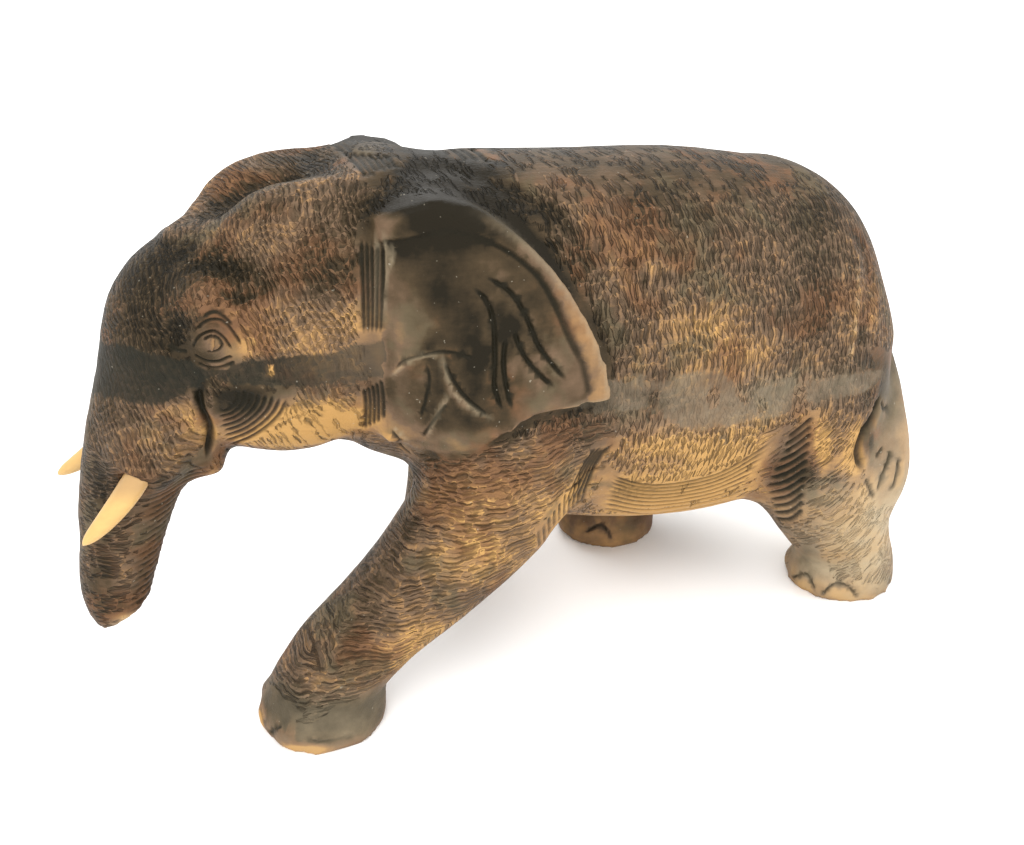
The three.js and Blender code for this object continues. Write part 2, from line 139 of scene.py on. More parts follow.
# Millimetres: how far the pale edges reach, and how low a point lies flat on the ground
PALE_REACH = 1.6
SOLE_SNAP = 0.7

# A tusk is darker near its top, in millimetres below its top: full down to the first, gone from the second
TUSK_DARKENING = (10, 22)

# The paste thins out over this many pixels, and ends at this height in parts
PASTE_EDGE = 9
PASTE_LOWEST = 24

# One nick's width and length on each layout, in parts
NICKS = {"body": (0.64, 1.7), "trunk": (0.5, 1.5), "head": (0.52, 1.35), "leg": (0.52, 2.3)}

# Below this height, in parts, the rows of nicks run around a leg, and they lean by this much
LEG_ROWS = {"left_fore": (31.5, 0.1), "right_fore": (29, 0.1), "left_hind": (27, 0.75),
            "right_hind": (27, 0.75)}

# Where those rows meet on a leg's inner side, nicks are left out below this height, and all round the
# leg they are this sparse
LEG_SEAMS = {"left_fore": (31.5, 0), "right_fore": (29, 0), "left_hind": (21, 0.3), "right_hind": (21, 0.3)}

# How far the stain is worn through, seen from the side: a general share, and what is added or
# taken away around places along and up, with a half length and half height
WORN_EVERYWHERE = 0.36
WORN = (
    (8, 44, 9, 9, -0.26), (37, 52, 9, 4, -0.34), (25, 41, 5.5, 4.5, 0.32), (27, 45, 4, 3, 0.18),
    (15.5, 42, 3.5, 2.5, 0.3), (21, 32.5, 9, 4, 0.75), (11, 33, 5, 4, 0.22), (5, 18, 5, 10, 0.12),
    (36, 44, 12, 8, -0.2), (33, 38, 4, 3, 0.1), (40, 25, 9, 6, 0.26), (44, 18, 5, 7, 0.3),
    (30, 9, 6, 4, 0.28), (20, 3, 7, 4, -0.22), (58, 44, 10, 6, 0.12), (60, 37, 12, 5, 0.28),
    (62, 24, 18, 7, 0.48), (62, 15, 20, 5, 0.55), (88, 38, 4, 10, 0.18), (84, 20, 9, 9, 0.42),
    (86, 9, 8, 6, 0.5), (77, 18, 3, 5, -0.2), (84, 3, 8, 4, 0.25), (65, 4, 7, 5, 0.1),
)
# The same, but placed by where it shows in the photograph, with the sizes in its pixels; a few of these
# patches are painted shade, marked below
WORN_AND_SHADE_SEEN = (
    # The first two patches darken the ear's rim where it faces up to the lamps: painted shade over the rim's
    # dark stain.
    (450, 216, 85, 30, -0.2), (440, 205, 75, 15, -0.34), (480, 195, 60, 20, 0.12),
    (462, 310, 30, 60, 0.1), (214, 343, 26, 22, -0.12), (650, 465, 60, 12, -0.16),
    (480, 270, 60, 40, 0.1), (545, 255, 22, 26, -0.1), (620, 535, 50, 22, -0.16),
    (350, 715, 45, 24, -0.12), (425, 265, 45, 55, -0.06), (410, 440, 40, 24, 0.08),
    (470, 330, 90, 60, -0.16), (450, 400, 60, 40, -0.2), (575, 345, 22, 50, 0.16),
    (415, 318, 28, 30, 0.24), (420, 165, 60, 35, -0.14), (270, 168, 70, 18, -0.12),
    (300, 320, 60, 30, 0.2), (238, 345, 18, 16, 0.25), (212, 343, 10, 9, 0.2), (214, 366, 20, 4, 0.25),
    # The patch at 200 across and 410 down darkens along the mouth line: a painted shadow.
    (240, 410, 34, 27, -0.6), (200, 410, 8, 40, -0.4), (205, 462, 10, 14, -0.1), (330, 415, 50, 26, 0.04),
    (170, 420, 40, 20, 0.14), (271, 371, 5, 8, 0.9), (230, 268, 30, 14, -0.16), (345, 575, 90, 60, -0.03),
    (470, 560, 60, 30, 0.3), (420, 640, 50, 30, 0.18), (330, 690, 35, 22, 0.25), (340, 725, 60, 22, -0.1),
    (278, 705, 22, 22, -0.14), (305, 750, 30, 7, 0.8), (260, 718, 5, 16, 0.7), (130, 618, 20, 7, 0.5),
    (128, 585, 16, 22, 0.2), (100, 560, 12, 80, -0.12), (125, 540, 45, 90, -0.16),
    (620, 300, 30, 60, 0.05), (165, 530, 14, 60, -0.1), (790, 470, 26, 46, -0.5), (822, 445, 10, 36, 0.4),
    # The patch at 868 across and 440 down darkens the tail's edge: a painted shadow in the gap beside the leg.
    (808, 558, 14, 20, -0.5), (803, 588, 10, 8, 0.4), (842, 594, 14, 7, 0.3), (868, 440, 7, 26, -0.6),
    (720, 340, 50, 40, 0.12), (640, 300, 26, 60, -0.1), (760, 300, 60, 20, 0.05),
    (690, 470, 90, 30, 0.18), (650, 440, 60, 20, 0.16), (520, 450, 60, 18, 0.12),
    (430, 470, 26, 22, -0.16), (630, 262, 50, 44, 0.09), (460, 500, 50, 40, 0.12),
    (310, 640, 34, 40, 0.12), (845, 535, 40, 30, 0.1), (650, 500, 90, 20, 0.2), (885, 430, 26, 80, -0.36),
    (450, 385, 60, 40, -0.1), (240, 250, 60, 30, 0.08), (845, 320, 14, 60, 0.1), (870, 300, 10, 60, 0.12),
    (590, 540, 44, 18, -0.2), (690, 160, 200, 14, -0.06),
)
# Where dust and greyish wear lie, seen from the side as above
DUSTY = (
    (21, 3, 7, 4, 0.35), (4.6, 10.4, 3, 1.4, 0.8), (82, 14, 9, 8, 0.3), (86, 8, 9, 7, 0.55),
    (85, 3, 9, 4, 0.6), (88, 19, 6, 12, 0.4), (80, 14, 9, 6, 0.2), (64, 31, 16, 3, 0.3),
)


# Places and lines

def to_parts(points):
    return (points - SHIFT) / PART


def to_metres(points):
    return np.asarray(points, dtype=float) * PART + SHIFT


def places_of(mesh):
    """A mesh's points in metres and in parts."""
    points = points_of(mesh)
    return points, to_parts(points)


def eased(low, high, values):
    """Runs smoothly from 0 at low to 1 at high."""
    t = np.clip((values - low) / (high - low), 0, 1)
    return t * t * (3 - 2 * t)


def camera_axes():
    """The camera's right, up and back directions."""
    a, e = CAMERA_AZIMUTH, CAMERA_ELEVATION
    back = Vector((math.sin(a) * math.cos(e), -math.cos(a) * math.cos(e), math.sin(e)))
    right = Vector((math.cos(a), math.sin(a), 0))
    up = back.cross(right)
    c, s = math.cos(CAMERA_ROLL), math.sin(CAMERA_ROLL)
    return right * c + up * s, up * c - right * s, back


def seen_at(tree, pixel):
    """The place on the surface that shows at a pixel of the photograph."""
    right, up, back = camera_axes()
    ray = right * (pixel[0] - PHOTO_WIDTH / 2) + up * (PHOTO_HEIGHT / 2 - pixel[1]) - back * FOCAL_PIXELS
    return tree.ray_cast(CAMERA_AT, ray.normalized())[0]


def pixels_of(points):
    """Where points show in the photograph."""
    right, up, back = (np.array(axis) for axis in camera_axes())
    seen = points - np.array(CAMERA_AT)
    away = -(seen @ back)
    return np.stack([PHOTO_WIDTH / 2 + FOCAL_PIXELS * (seen @ right) / away,
                     PHOTO_HEIGHT / 2 - FOCAL_PIXELS * (seen @ up) / away], axis=1)


def seen_of(points):
    """Where points, or their mirror images on the near side, show in the photograph."""
    near = points.copy()
    near[:, 1] = SHIFT[1] - np.abs(near[:, 1] - SHIFT[1])
    return pixels_of(near)


def off_line(seen, line):
    """How far each pixel is from a line, which side of it it is on, and how far along the line it is."""
    line = np.asarray(line, dtype=float)
    nearest = np.full(len(seen), np.inf)
    side = np.zeros(len(seen))
    along = np.zeros(len(seen))
    for k, (a, b) in enumerate(zip(line, line[1:])):
        run, off = b - a, seen - a
        t = np.clip((off @ run) / (run @ run), 0, 1)
        away = np.hypot(*(off - t[:, None] * run).T)
        closer = away < nearest
        nearest = np.where(closer, away, nearest)
        side = np.where(closer, np.sign(run[0] * off[:, 1] - run[1] * off[:, 0]), side)
        along = np.where(closer, (k + t) / (len(line) - 1), along)
    return nearest, side, along


def within(seen, outline):
    """How far each pixel is inside a closed outline, in pixels, below zero outside it."""
    corners = np.asarray(outline, dtype=float)
    inside = np.zeros(len(seen), dtype=bool)
    for a, b in zip(corners, np.roll(corners, -1, axis=0)):
        spans = (a[1] > seen[:, 1]) != (b[1] > seen[:, 1])
        reach = a[0] + (seen[:, 1] - a[1]) * (b[0] - a[0]) / (b[1] - a[1] + 1e-9)
        inside ^= spans & (seen[:, 0] < reach)
    away, _, _ = off_line(seen, np.vstack([corners, corners[:1]]))
    return np.where(inside, away, -away)


def flowing(points, steps):
    """A smooth line through a few points."""
    points = np.asarray(points, dtype=float)
    if len(points) < 3:
        t = np.linspace(0, 1, steps)[:, None]
        return points[0] * (1 - t) + points[-1] * t
    ends = np.vstack([2 * points[0] - points[1], points, 2 * points[-1] - points[-2]])
    line = []
    for i in range(1, len(points)):
        a, b, c, d = ends[i - 1:i + 3]
        t = np.linspace(0, 1, steps // (len(points) - 1) + 1, endpoint=False)[:, None]
        line.append(b + t * (c - a) / 2 + t ** 2 * (a - 2.5 * b + 2 * c - d / 2)
                    + t ** 3 * (1.5 * (b - c) + (d - a) / 2))
    return np.vstack(line + [points[-1:]])


def between(first, last, count):
    """Lines that lead over from the first to the last, both of them included."""
    a, b = flowing(first, 24), flowing(last, 24)
    steps = min(len(a), len(b))
    a = a[np.linspace(0, len(a) - 1, steps).astype(int)]
    b = b[np.linspace(0, len(b) - 1, steps).astype(int)]
    return [a * (1 - k / (count - 1)) + b * k / (count - 1) for k in range(count)]


# Carved lines, as they run in the photograph

EYE_LIDS = [((191, 351), (196, 340), (204, 333), (214, 331), (224, 338), (231, 348), (239, 356)),
            ((191, 351), (198, 357), (208, 361), (219, 361), (229, 357), (238, 357)),
            ((203, 344), (205, 339), (212, 336), (219, 339), (222, 346), (216, 351), (208, 351), (203, 346))]
EYE_FOLDS = [((194, 333), (204, 321), (214, 318), (224, 321), (234, 332), (245, 353)),
             ((200, 318), (213, 311), (224, 316), (236, 329)), ((165, 345), (178, 350), (190, 352)),
             ((194, 360), (204, 366), (216, 368), (230, 364), (238, 359))]
EAR_VEINS = [((463, 283), (478, 292), (489, 306), (494, 327), (495, 360), (495, 391), (507, 421)),
             ((476, 272), (509, 291), (527, 317), (542, 350), (575, 390)),
             ((512, 324), (524, 355), (545, 380), (565, 394)),
             ((507, 334), (504, 365), (509, 398), (517, 420))]
EAR_RIM_LINE = ((384, 243), (406, 241), (445, 232), (470, 236), (495, 244), (518, 258), (540, 279),
                (556, 307), (568, 336), (581, 364), (587, 391))
FLAP_FOLDS = [((388, 376), (403, 363), (423, 357), (443, 354), (464, 357), (484, 363)),
              ((423, 358), (429, 379), (425, 402), (417, 425)),
              ((451, 400), (438, 415), (425, 433), (418, 441)),
              ((442, 358), (451, 379), (466, 400), (484, 415), (501, 425)),
              ((385, 425), (400, 445), (418, 459))]
NECK_LINES = (between(((361, 228), (363, 290), (364, 342)), ((381, 240), (381, 291), (380, 340)), 5)
              + between(((363, 384), (366, 405), (365, 432)), ((380, 376), (382, 400), (381, 426)), 5))
NAPE_LINES = (between(((343, 150), (358, 165), (373, 184)), ((382, 153), (391, 160), (401, 168)), 6)
              + between(((443, 144), (456, 152), (470, 162)), ((466, 144), (478, 153), (490, 164)), 3))
JAW_LINES = between(((236, 386), (238, 399), (228, 410), (212, 413)),
                    ((290, 389), (279, 415), (253, 436), (217, 449)), 8)
MOUTH_LINE = [((203, 383), (199, 395), (201, 409), (207, 421), (210, 433), (209, 449), (205, 464))]
BELLY_LINES = between(((605, 465), (618, 478), (641, 485), (671, 485), (717, 475), (755, 454), (788, 428)),
                      ((590, 506), (641, 514), (681, 510), (720, 503), (752, 496)), 9)
LEG_EDGE_LINES = between(((620, 437), (600, 458), (587, 485), (581, 506)),
                         ((599, 444), (582, 470), (572, 490), (564, 511)), 5)
ARMPIT_LINES = (between(((787, 439), (801, 428), (816, 415)), ((763, 488), (788, 481), (812, 465)), 7)[:-1]
                + between(((763, 488), (788, 481), (812, 465)), ((775, 519), (791, 519), (806, 506)), 6))
TAIL_LINES = [((892, 446), (888, 462), (881, 480), (877, 496)), ((883, 447), (876, 459)),
              ((865, 476), (870, 489), (875, 500)), ((881, 400), (884, 409), (889, 404)),
              ((899, 455), (897, 475), (890, 495))]
TAIL_GAP = [((881, 392), (874, 416), (865, 430), (860, 445), (859, 457), (864, 474))]
TOE_LINES = [((791, 578), (806, 574), (812, 584), (816, 594)),
             ((820, 597), (833, 585), (847, 586), (860, 601)),
             ((583, 534), (600, 525), (608, 532), (613, 543)), ((267, 736), (274, 730), (283, 725))]
TOE_EDGES = [((259, 703), (262, 718), (267, 735)), ((300, 740), (330, 742), (360, 734))]
CROSS_TICKS = between(((582, 468), (578, 503)), ((538, 528), (541, 553)), 9)

# Each family's half width and depth in millimetres, how dark its bottom is, and whether the far side has it
GROOVES = {
    "ear veins": (EAR_VEINS, 1.5, 2.2, 1.0, True),
    # The ear rim line's dark bottom is painted shade on the rim's inner wall.
    "ear rim line": ([EAR_RIM_LINE], 1.2, 0.6, 0.8, True),
    "eye lids": (EYE_LIDS, 0.85, 1.2, 1.0, True),
    "eye folds": (EYE_FOLDS, 1.0, 1.1, 0.95, True),
    "flap folds": (FLAP_FOLDS, 1.1, 1.3, 0.8, True),
    "neck lines": (NECK_LINES, 1.2, 1.6, 0.95, True),
    "nape lines": (NAPE_LINES, 1.3, 1.9, 0.9, True),
    "jaw lines": (JAW_LINES, 1.2, 1.4, 0.9, True),
    "mouth": (MOUTH_LINE, 2.3, 4.0, 1.0, True),
    "belly lines": (BELLY_LINES, 1.2, 1.7, 0.85, True),
    "leg edge lines": (LEG_EDGE_LINES, 1.3, 1.7, 0.95, False),
    "leg ticks": (CROSS_TICKS, 1.1, 1.2, 0.75, False),
    "armpit lines": (ARMPIT_LINES, 1.6, 2.0, 1.0, False),
    "tail lines": (TAIL_LINES, 1.3, 2.0, 1.0, False),
    # The tail gap's dark bottom is painted shade between the tail and the leg.
    "tail gap": (TAIL_GAP, 3.2, 5.0, 1.0, False),
    "toe lines": (TOE_LINES, 1.1, 1.8, 1.0, False),
    "toe edges": (TOE_EDGES, 1.2, 1.0, 0.5, False),
}

# Soft hollows and ridges: half width and height in millimetres, below zero for a hollow, and whether the
# far side has it
SWELLS = {
    "shoulder hollow": ([((388, 176), (423, 167), (453, 168), (504, 187), (545, 206), (590, 240))],
                        7, -2.2, True),
    "crown valley": ([((262, 160), (285, 155), (323, 153))], 6, -1.4, True),
    "temple hollow": ([((205, 246), (230, 268), (248, 288), (258, 306))], 10, -2.4, True),
    "forehead fill": ([((160, 242), (178, 229), (196, 214), (209, 201))], 9, 3.2, True),
    "brow bulge": ([((175, 262), (200, 285), (222, 305))], 10, 1.6, True),
    "hip ridge": ([((846, 228), (857, 262), (857, 305), (852, 345), (839, 395))], 1.6, 1.3, True),
    "hip hollow": ([((850, 222), (868, 262), (868, 310), (858, 356))], 4.5, -1.5, True),
    "flank notch": ([((626, 256), (638, 270), (648, 288))], 4, -2.2, True),
    "brow": ([((190, 336), (200, 324), (216, 314), (232, 322), (243, 340))], 4, 1.6, True),
    "eyeball": ([((211, 343), (214, 343))], 3.4, 1.8, True),
    "toe bump": ([((288, 727), (296, 729))], 6, 2.4, False),
    "flap ridge": ([((440, 358), (450, 392), (472, 412), (492, 422)),
                    ((390, 377), (406, 362), (424, 356), (441, 355)),
                    ((447, 399), (435, 417), (424, 439))], 1.8, 1.3, True),
}

# Thin edges painted pale: partly worn wood, partly a painted highlight where they catch the light
PALE_LINES = [((442, 356), (452, 391), (474, 411), (494, 421)),
              ((390, 378), (406, 364), (424, 358), (441, 356)),
              ((448, 398), (436, 417), (425, 439)), ((389, 425), (399, 437), (408, 448)),
              ((857, 262), (857, 305), (852, 345), (839, 395)), ((376, 232), (376, 280), (375, 330)),
              ((384, 232), (384, 280), (382, 328)), ((391, 246), (391, 258), (391, 272))]

# Outlines in the photograph: the paste in the glue joint, where it has gaps, and what is left smooth
PASTE = (
    ((80, 340), (150, 352), (186, 360), (206, 367), (224, 363), (250, 361), (290, 357), (330, 352),
     (360, 344), (398, 338), (402, 378), (385, 376), (362, 382), (330, 385), (300, 387), (268, 387),
     (235, 383), (214, 377), (196, 389), (175, 399), (150, 405), (125, 401), (80, 392)),
    ((566, 404), (604, 382), (640, 376), (659, 383), (690, 375), (720, 370), (736, 386), (752, 396),
     (770, 388), (790, 379), (812, 384), (850, 376), (885, 368), (886, 378), (856, 392), (815, 402),
     (794, 411), (745, 419), (720, 425), (700, 429), (680, 424), (660, 412), (640, 407), (600, 414)),
)
PASTE_GAPS = ((271, 371, 4, 7, -3), (655, 398, 6, 10, -2), (713, 398, 8, 14, -2.5), (744, 392, 10, 16, -2),
              (762, 405, 8, 9, -2), (625, 380, 12, 4, -1), (800, 400, 8, 20, -2.5), (222, 367, 8, 3, -1.5))
FORE_CAP = ((388, 676), (356, 696), (334, 705), (313, 722), (301, 722), (298, 708), (286, 698), (274, 683),
            (262, 690), (250, 720), (280, 765), (320, 765), (380, 745), (395, 700))
TAIL_SHAPE = ((866, 345), (892, 350), (905, 395), (914, 430), (912, 460), (903, 497), (893, 511), (877, 507),
              (864, 478), (857, 455), (864, 428), (873, 414), (880, 385))
INSTEP = ((800, 540), (816, 548), (832, 566), (834, 584), (900, 584), (900, 612), (785, 612), (785, 560))


# The fine mesh

def merged_copy(node):
    """A copy of a solid's mesh with its loose triangles joined up."""
    shape = bmesh.new()
    shape.from_mesh(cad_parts[node].data)
    bmesh.ops.remove_doubles(shape, verts=shape.verts, dist=1e-5)
    return shape


def new_piece(name, shape):
    """An object in the scene, with the shape as its mesh."""
    mesh = bpy.data.meshes.new(name)
    shape.to_mesh(mesh)
    shape.free()
    piece = bpy.data.objects.new(name, mesh)
    bpy.context.scene.collection.objects.link(piece)
    return piece


def bake_modifiers(piece):
    """Turns a piece's live modifiers into its mesh."""
    graph = bpy.context.evaluated_depsgraph_get()
    old = piece.data
    piece.data = bpy.data.meshes.new_from_object(piece.evaluated_get(graph))
    piece.data.name = piece.name
    piece.modifiers.clear()
    bpy.data.meshes.remove(old)


def points_of(mesh):
    points = np.empty(len(mesh.vertices) * 3)
    mesh.vertices.foreach_get("co", points)
    return points.reshape(-1, 3)


def normals_of(mesh):
    normals = np.empty(len(mesh.vertices) * 3)
    mesh.vertices.foreach_get("normal", normals)
    return normals.reshape(-1, 3)


def edges_of(mesh):
    edges = np.empty(len(mesh.edges) * 2, dtype=np.int32)
    mesh.edges.foreach_get("vertices", edges)
    return edges.reshape(-1, 2)


def move_points(mesh, points):
    mesh.vertices.foreach_set("co", points.ravel())
    mesh.update()


def neighbour_mean(values, edges):
    """The mean of each point's neighbours along the edges."""
    count = len(values)
    met = np.bincount(edges.ravel(), minlength=count)
    mean = np.empty_like(values)
    for axis in range(values.shape[1]):
        column = values[:, axis]
        total = np.bincount(edges[:, 0], column[edges[:, 1]], count)
        total += np.bincount(edges[:, 1], column[edges[:, 0]], count)
        mean[:, axis] = total / np.maximum(met, 1)
    return mean


def evened(points, edges, rounds):
    """Takes the facets out of a mesh without shrinking it."""
    for _ in range(rounds):
        for share in (0.5, -0.53):
            points = points + share * (neighbour_mean(points, edges) - points)
    return points


def stood_level(points):
    """Keeps the soles flat on the ground."""
    points[:, 2] = np.where(points[:, 2] < SOLE_SNAP * MM, 0, points[:, 2])
    return points


def fill_sockets(shape):
    """Closes the tusk sockets below the surface, because the tusks fill them."""
    for name, seat in TUSK_SEATS.items():
        low, high = (to_parts(np.array(corner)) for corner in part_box(name))
        seat = Vector(to_metres(seat))
        aim = Vector(to_metres((low + high) / 2)) - seat
        turn = aim.to_track_quat("Z", "Y").to_matrix().to_4x4()
        bmesh.ops.create_cone(shape, cap_ends=True, segments=24, radius1=PLUG_RADIUS * MM,
                              radius2=PLUG_RADIUS * MM, depth=PLUG_DEPTH * MM,
                              matrix=Matrix.Translation(seat) @ turn)


class Lines:
    """Points along a family of carved lines on the surface, each with how deep the line is there."""

    def __init__(self, tree, lines, mirrored):
        self.spots = []
        self.strength = []
        for line in lines:
            smooth = line if isinstance(line, np.ndarray) else flowing(line, 40)
            found = [seen_at(tree, pixel) for pixel in smooth]
            found = [spot for spot in found if spot is not None]
            self.add(found)
            if mirrored:
                self.add([tree.find_nearest(across_middle(spot))[0] for spot in found])
        self.tree = KDTree(max(len(self.spots), 1))
        for i, spot in enumerate(self.spots):
            self.tree.insert(spot, i)
        self.tree.balance()

    def add(self, found):
        """Adds one line, filled in with close spots and thinner towards its ends."""
        if len(found) < 2:
            return
        spots = []
        for a, b in zip(found, found[1:]):
            steps = max(int((b - a).length / (SPOT_PITCH * MM)), 1)
            if steps < OPEN_GAP / SPOT_PITCH:
                spots += [a.lerp(b, k / steps) for k in range(steps)]
        for k, spot in enumerate(spots):
            along = k / max(len(spots) - 1, 1)
            self.spots.append(spot)
            self.strength.append(min(1.0, 0.25 + 5 * min(along, 1 - along)))

    def nearness(self, points, reach):
        """How near each point is to a line, from 0 at the reach to 1 on it, times the strength."""
        near = np.zeros(len(points))
        if not self.spots:
            return near
        for i, point in enumerate(points):
            _, k, away = self.tree.find(point)
            if away < reach:
                near[i] = (1 - away / reach) * self.strength[k]
        return near


def across_middle(spot):
    """A place's mirror image on the carving's other side."""
    return Vector((spot.x, 2 * SHIFT[1] - spot.y, spot.z))


def refine_where(piece, chosen):
    """Splits the edges whose two ends are both chosen."""
    shape = bmesh.new()
    shape.from_mesh(piece.data)
    shape.verts.ensure_lookup_table()
    edges = [edge for edge in shape.edges if chosen[edge.verts[0].index] and chosen[edge.verts[1].index]]
    bmesh.ops.subdivide_edges(shape, edges=edges, cuts=1, use_grid_fill=True)
    bmesh.ops.triangulate(shape, faces=[face for face in shape.faces if len(face.verts) > 4])
    shape.to_mesh(piece.data)
    shape.free()


def near_lines(points, families, margin):
    """Which points lie on a groove or within a margin of it, in millimetres."""
    chosen = np.zeros(len(points), dtype=bool)
    for lines, half in families:
        chosen |= lines.nearness(points, (half + margin) * MM) > 0
    return chosen


# Regions of the hide, worked out on arrays of points in parts

def limb_middle(name, heights):
    """Where a limb's middle line and half depth are at each height."""
    rows = np.array(LIMBS[name])[::-1]
    return [np.interp(heights, rows[:, 2], rows[:, k]) for k in (0, 1, 3)]


def limb_share(name, p, top, soft):
    """1 on a limb below its top, 0 elsewhere."""
    x, y, half = limb_middle(name, p[:, 2])
    away = np.hypot(p[:, 0] - x, (p[:, 1] - y) * 1.1)
    return (1 - eased(half * 1.15, half * 1.5, away)) * (1 - eased(top - soft, top + soft, p[:, 2]))


def ear_depth(p):
    """How far inside the ear's outline a point lies, seen from the side."""
    x, z = p[:, 0], p[:, 2]
    along = np.abs(x - EAR["x"]) / np.where(x < EAR["x"], EAR["ahead"], EAR["behind"])
    up = np.maximum(z - EAR["z"], 0) / EAR["rise"]
    rounded = ((along ** EAR["power"] + up ** EAR["power"]) ** (1 / EAR["power"]) - 1) * EAR["behind"]
    lobe = EAR_LOBE["drop"] * np.maximum(1 - ((x - EAR_LOBE["x"]) / EAR_LOBE["half"]) ** 2, 0)
    lower = EAR["z"] + (x - EAR["x"] - EAR["behind"] / 2) * EAR["slope"] - lobe - z
    return -np.maximum(np.maximum(rounded, lower), EAR["front"] - x)


def ear_share(p):
    """1 on the outer face of an ear."""
    return eased(-0.3, 0.3, ear_depth(p)) * eased(8.5, 10, np.abs(p[:, 1]))


def paste_share(p, seen):
    """Above zero where paste fills the glue joint, and how far inside its outline that is."""
    share = np.maximum(*(within(seen, outline) for outline in PASTE)) / PASTE_EDGE
    share = np.clip(share, -1, 1) + added_up(seen, PASTE_GAPS, 0)
    outside = (p[:, 2] < PASTE_LOWEST) | (ear_share(p) > 0.5)
    return np.where(outside, -1, np.clip(share, -1, 1))


def added_up(places, patches, start):
    """A start value plus soft round patches."""
    total = np.full(len(places), float(start))
    for across, up, half_across, half_up, amount in patches:
        away = np.hypot((places[:, 0] - across) / half_across, (places[:, 1] - up) / half_up)
        total += amount * (1 - eased(0.3, 1.3, away))
    return total


def worn_and_shade_share(p, seen, normals):
    """How far the stain is worn through to amber wood, with a few patches of painted shade, and a little less
    on faces turned up.
    """
    outward = eased(-0.2, 0.2, normals[:, 1] * np.sign(p[:, 1]) + 0.7 * np.maximum(normals[:, 2], 0))
    worn = added_up(p[:, [0, 2]], WORN, WORN_EVERYWHERE) + outward * added_up(seen, WORN_AND_SHADE_SEEN, 0)
    # Faces turned up are a little darker.
    return worn - 0.08 * eased(0.4, 0.9, normals[:, 2])


def bell(values, middle, half):
    """1 at the middle, and fading out on both sides."""
    return np.exp(-((values - middle) / half) ** 2)


def smooth_share(p, seen, normals):
    """1 where the hide is left smooth, and less where nicks are sparse."""
    ears = eased(-1.6, -0.9, ear_depth(p)) * eased(8.5, 10, np.abs(p[:, 1]))
    on_top = 0.5 * eased(0.75, 0.95, normals[:, 2]) * eased(30, 36, p[:, 0])
    belly = eased(50, 53, p[:, 0]) * (1 - eased(72, 76, p[:, 0])) * (1 - eased(15.5, 17.5, p[:, 2]))
    return np.maximum.reduce([ears, on_top, belly, smooth_face(p, seen), smooth_trunk(p), smooth_legs(p),
                              smooth_near_side(p, seen)])


def smooth_face(p, seen):
    """The jaw, the hollow of the cheek and the ring around the eye."""
    jaw = 0.38 * (1 - eased(0.7, 1.2, np.hypot((p[:, 0] - 22) / 8, (p[:, 2] - 31) / 4)))
    cheek = 1 - eased(20, 34, np.hypot(seen[:, 0] - 240, seen[:, 1] - 412))
    middle, _ = EYE_FINE
    eye = np.hypot((seen[:, 0] - middle[0]) / 28, (seen[:, 1] - middle[1]) / 26)
    return np.maximum.reduce([jaw, cheek, (1 - eased(0.8, 1.1, eye)) * (p[:, 0] < FACE_BACK)])


def smooth_trunk(p):
    """The trunk's back, where the rings are, and sparser nicks on its front."""
    x, _, half = limb_middle("trunk", p[:, 2])
    on_trunk = (p[:, 0] < TRUNK_BACK + 1) * (1 - eased(26, 30, p[:, 2]))
    return on_trunk * (0.3 + 0.6 * eased(-0.1, 0.4, (p[:, 0] - x) / half))


def smooth_legs(p):
    """The seams on the legs' inner sides, and the feet of the far side."""
    share = np.zeros(len(p))
    for name, (top, sparse) in LEG_SEAMS.items():
        x, y, _ = limb_middle(name, p[:, 2])
        turned = np.abs(np.arctan2(p[:, 0] - x, (p[:, 1] - y) * np.sign(y) + 0.2))
        share = np.maximum(share, limb_share(name, p, top, 3) * np.maximum(sparse, eased(2.8, 3.0, turned)))
    for name in ("right_fore", "right_hind"):
        x, y, _ = limb_middle(name, p[:, 2])
        beside = np.hypot(p[:, 0] - x, p[:, 1] - y) < 9.5
        share = np.maximum(share, beside * (1 - eased(3.4, 4.6, p[:, 2])))
    return share


def smooth_near_side(p, seen):
    """The cap on the fore foot, the hind instep and the tail, as they show in the photograph."""
    share = np.zeros(len(p))
    for outline, region in ((FORE_CAP, p[:, 0] < 32), (INSTEP, p[:, 0] > 74), (TAIL_SHAPE, p[:, 0] > 80)):
        share = np.maximum(share, (p[:, 1] < 0) * region * eased(-3, 3, within(seen, outline)))
    return share


def head_share(p):
    """1 on the head, and 0 behind it and on the trunk."""
    return (1 - eased(27, 30.5, p[:, 0])) * eased(25.5, 28.5, p[:, 2] + 0.4 * (p[:, 0] - 12))


def laid_out(across, along, name):
    """A layout with one nick to each unit."""
    width, length = NICKS[name]
    return np.stack([across / width, along / length], axis=1)


def body_chart(p):
    """Nicks in rings around the barrel of the body."""
    return laid_out(p[:, 0], 19 * np.arctan2(p[:, 2] - 31, np.abs(p[:, 1]) * 1.15), "body")


def trunk_chart(p):
    """Nicks that run around the trunk."""
    x, _, _ = limb_middle("trunk", p[:, 2])
    return laid_out(p[:, 2], 4.4 * np.arctan2(p[:, 0] - x, np.abs(p[:, 1]) + 0.3), "trunk")


def head_chart(p):
    """Nicks that run down the face and lean back."""
    across = 0.9 * p[:, 0] + 0.6 * np.abs(p[:, 1])
    down = p[:, 2] - 0.7 * np.abs(p[:, 1])
    return laid_out(across + 0.4 * down, down - 0.4 * across, "head")


def leg_chart(p, name, lean):
    """Nicks in rows around a leg, which climb by the lean."""
    x, y, half = limb_middle(name, p[:, 2])
    swing = half * np.arctan2(p[:, 0] - x, (p[:, 1] - y) * np.sign(y) + 0.2)
    return laid_out(p[:, 2] - lean * swing, swing + lean * p[:, 2], "leg")


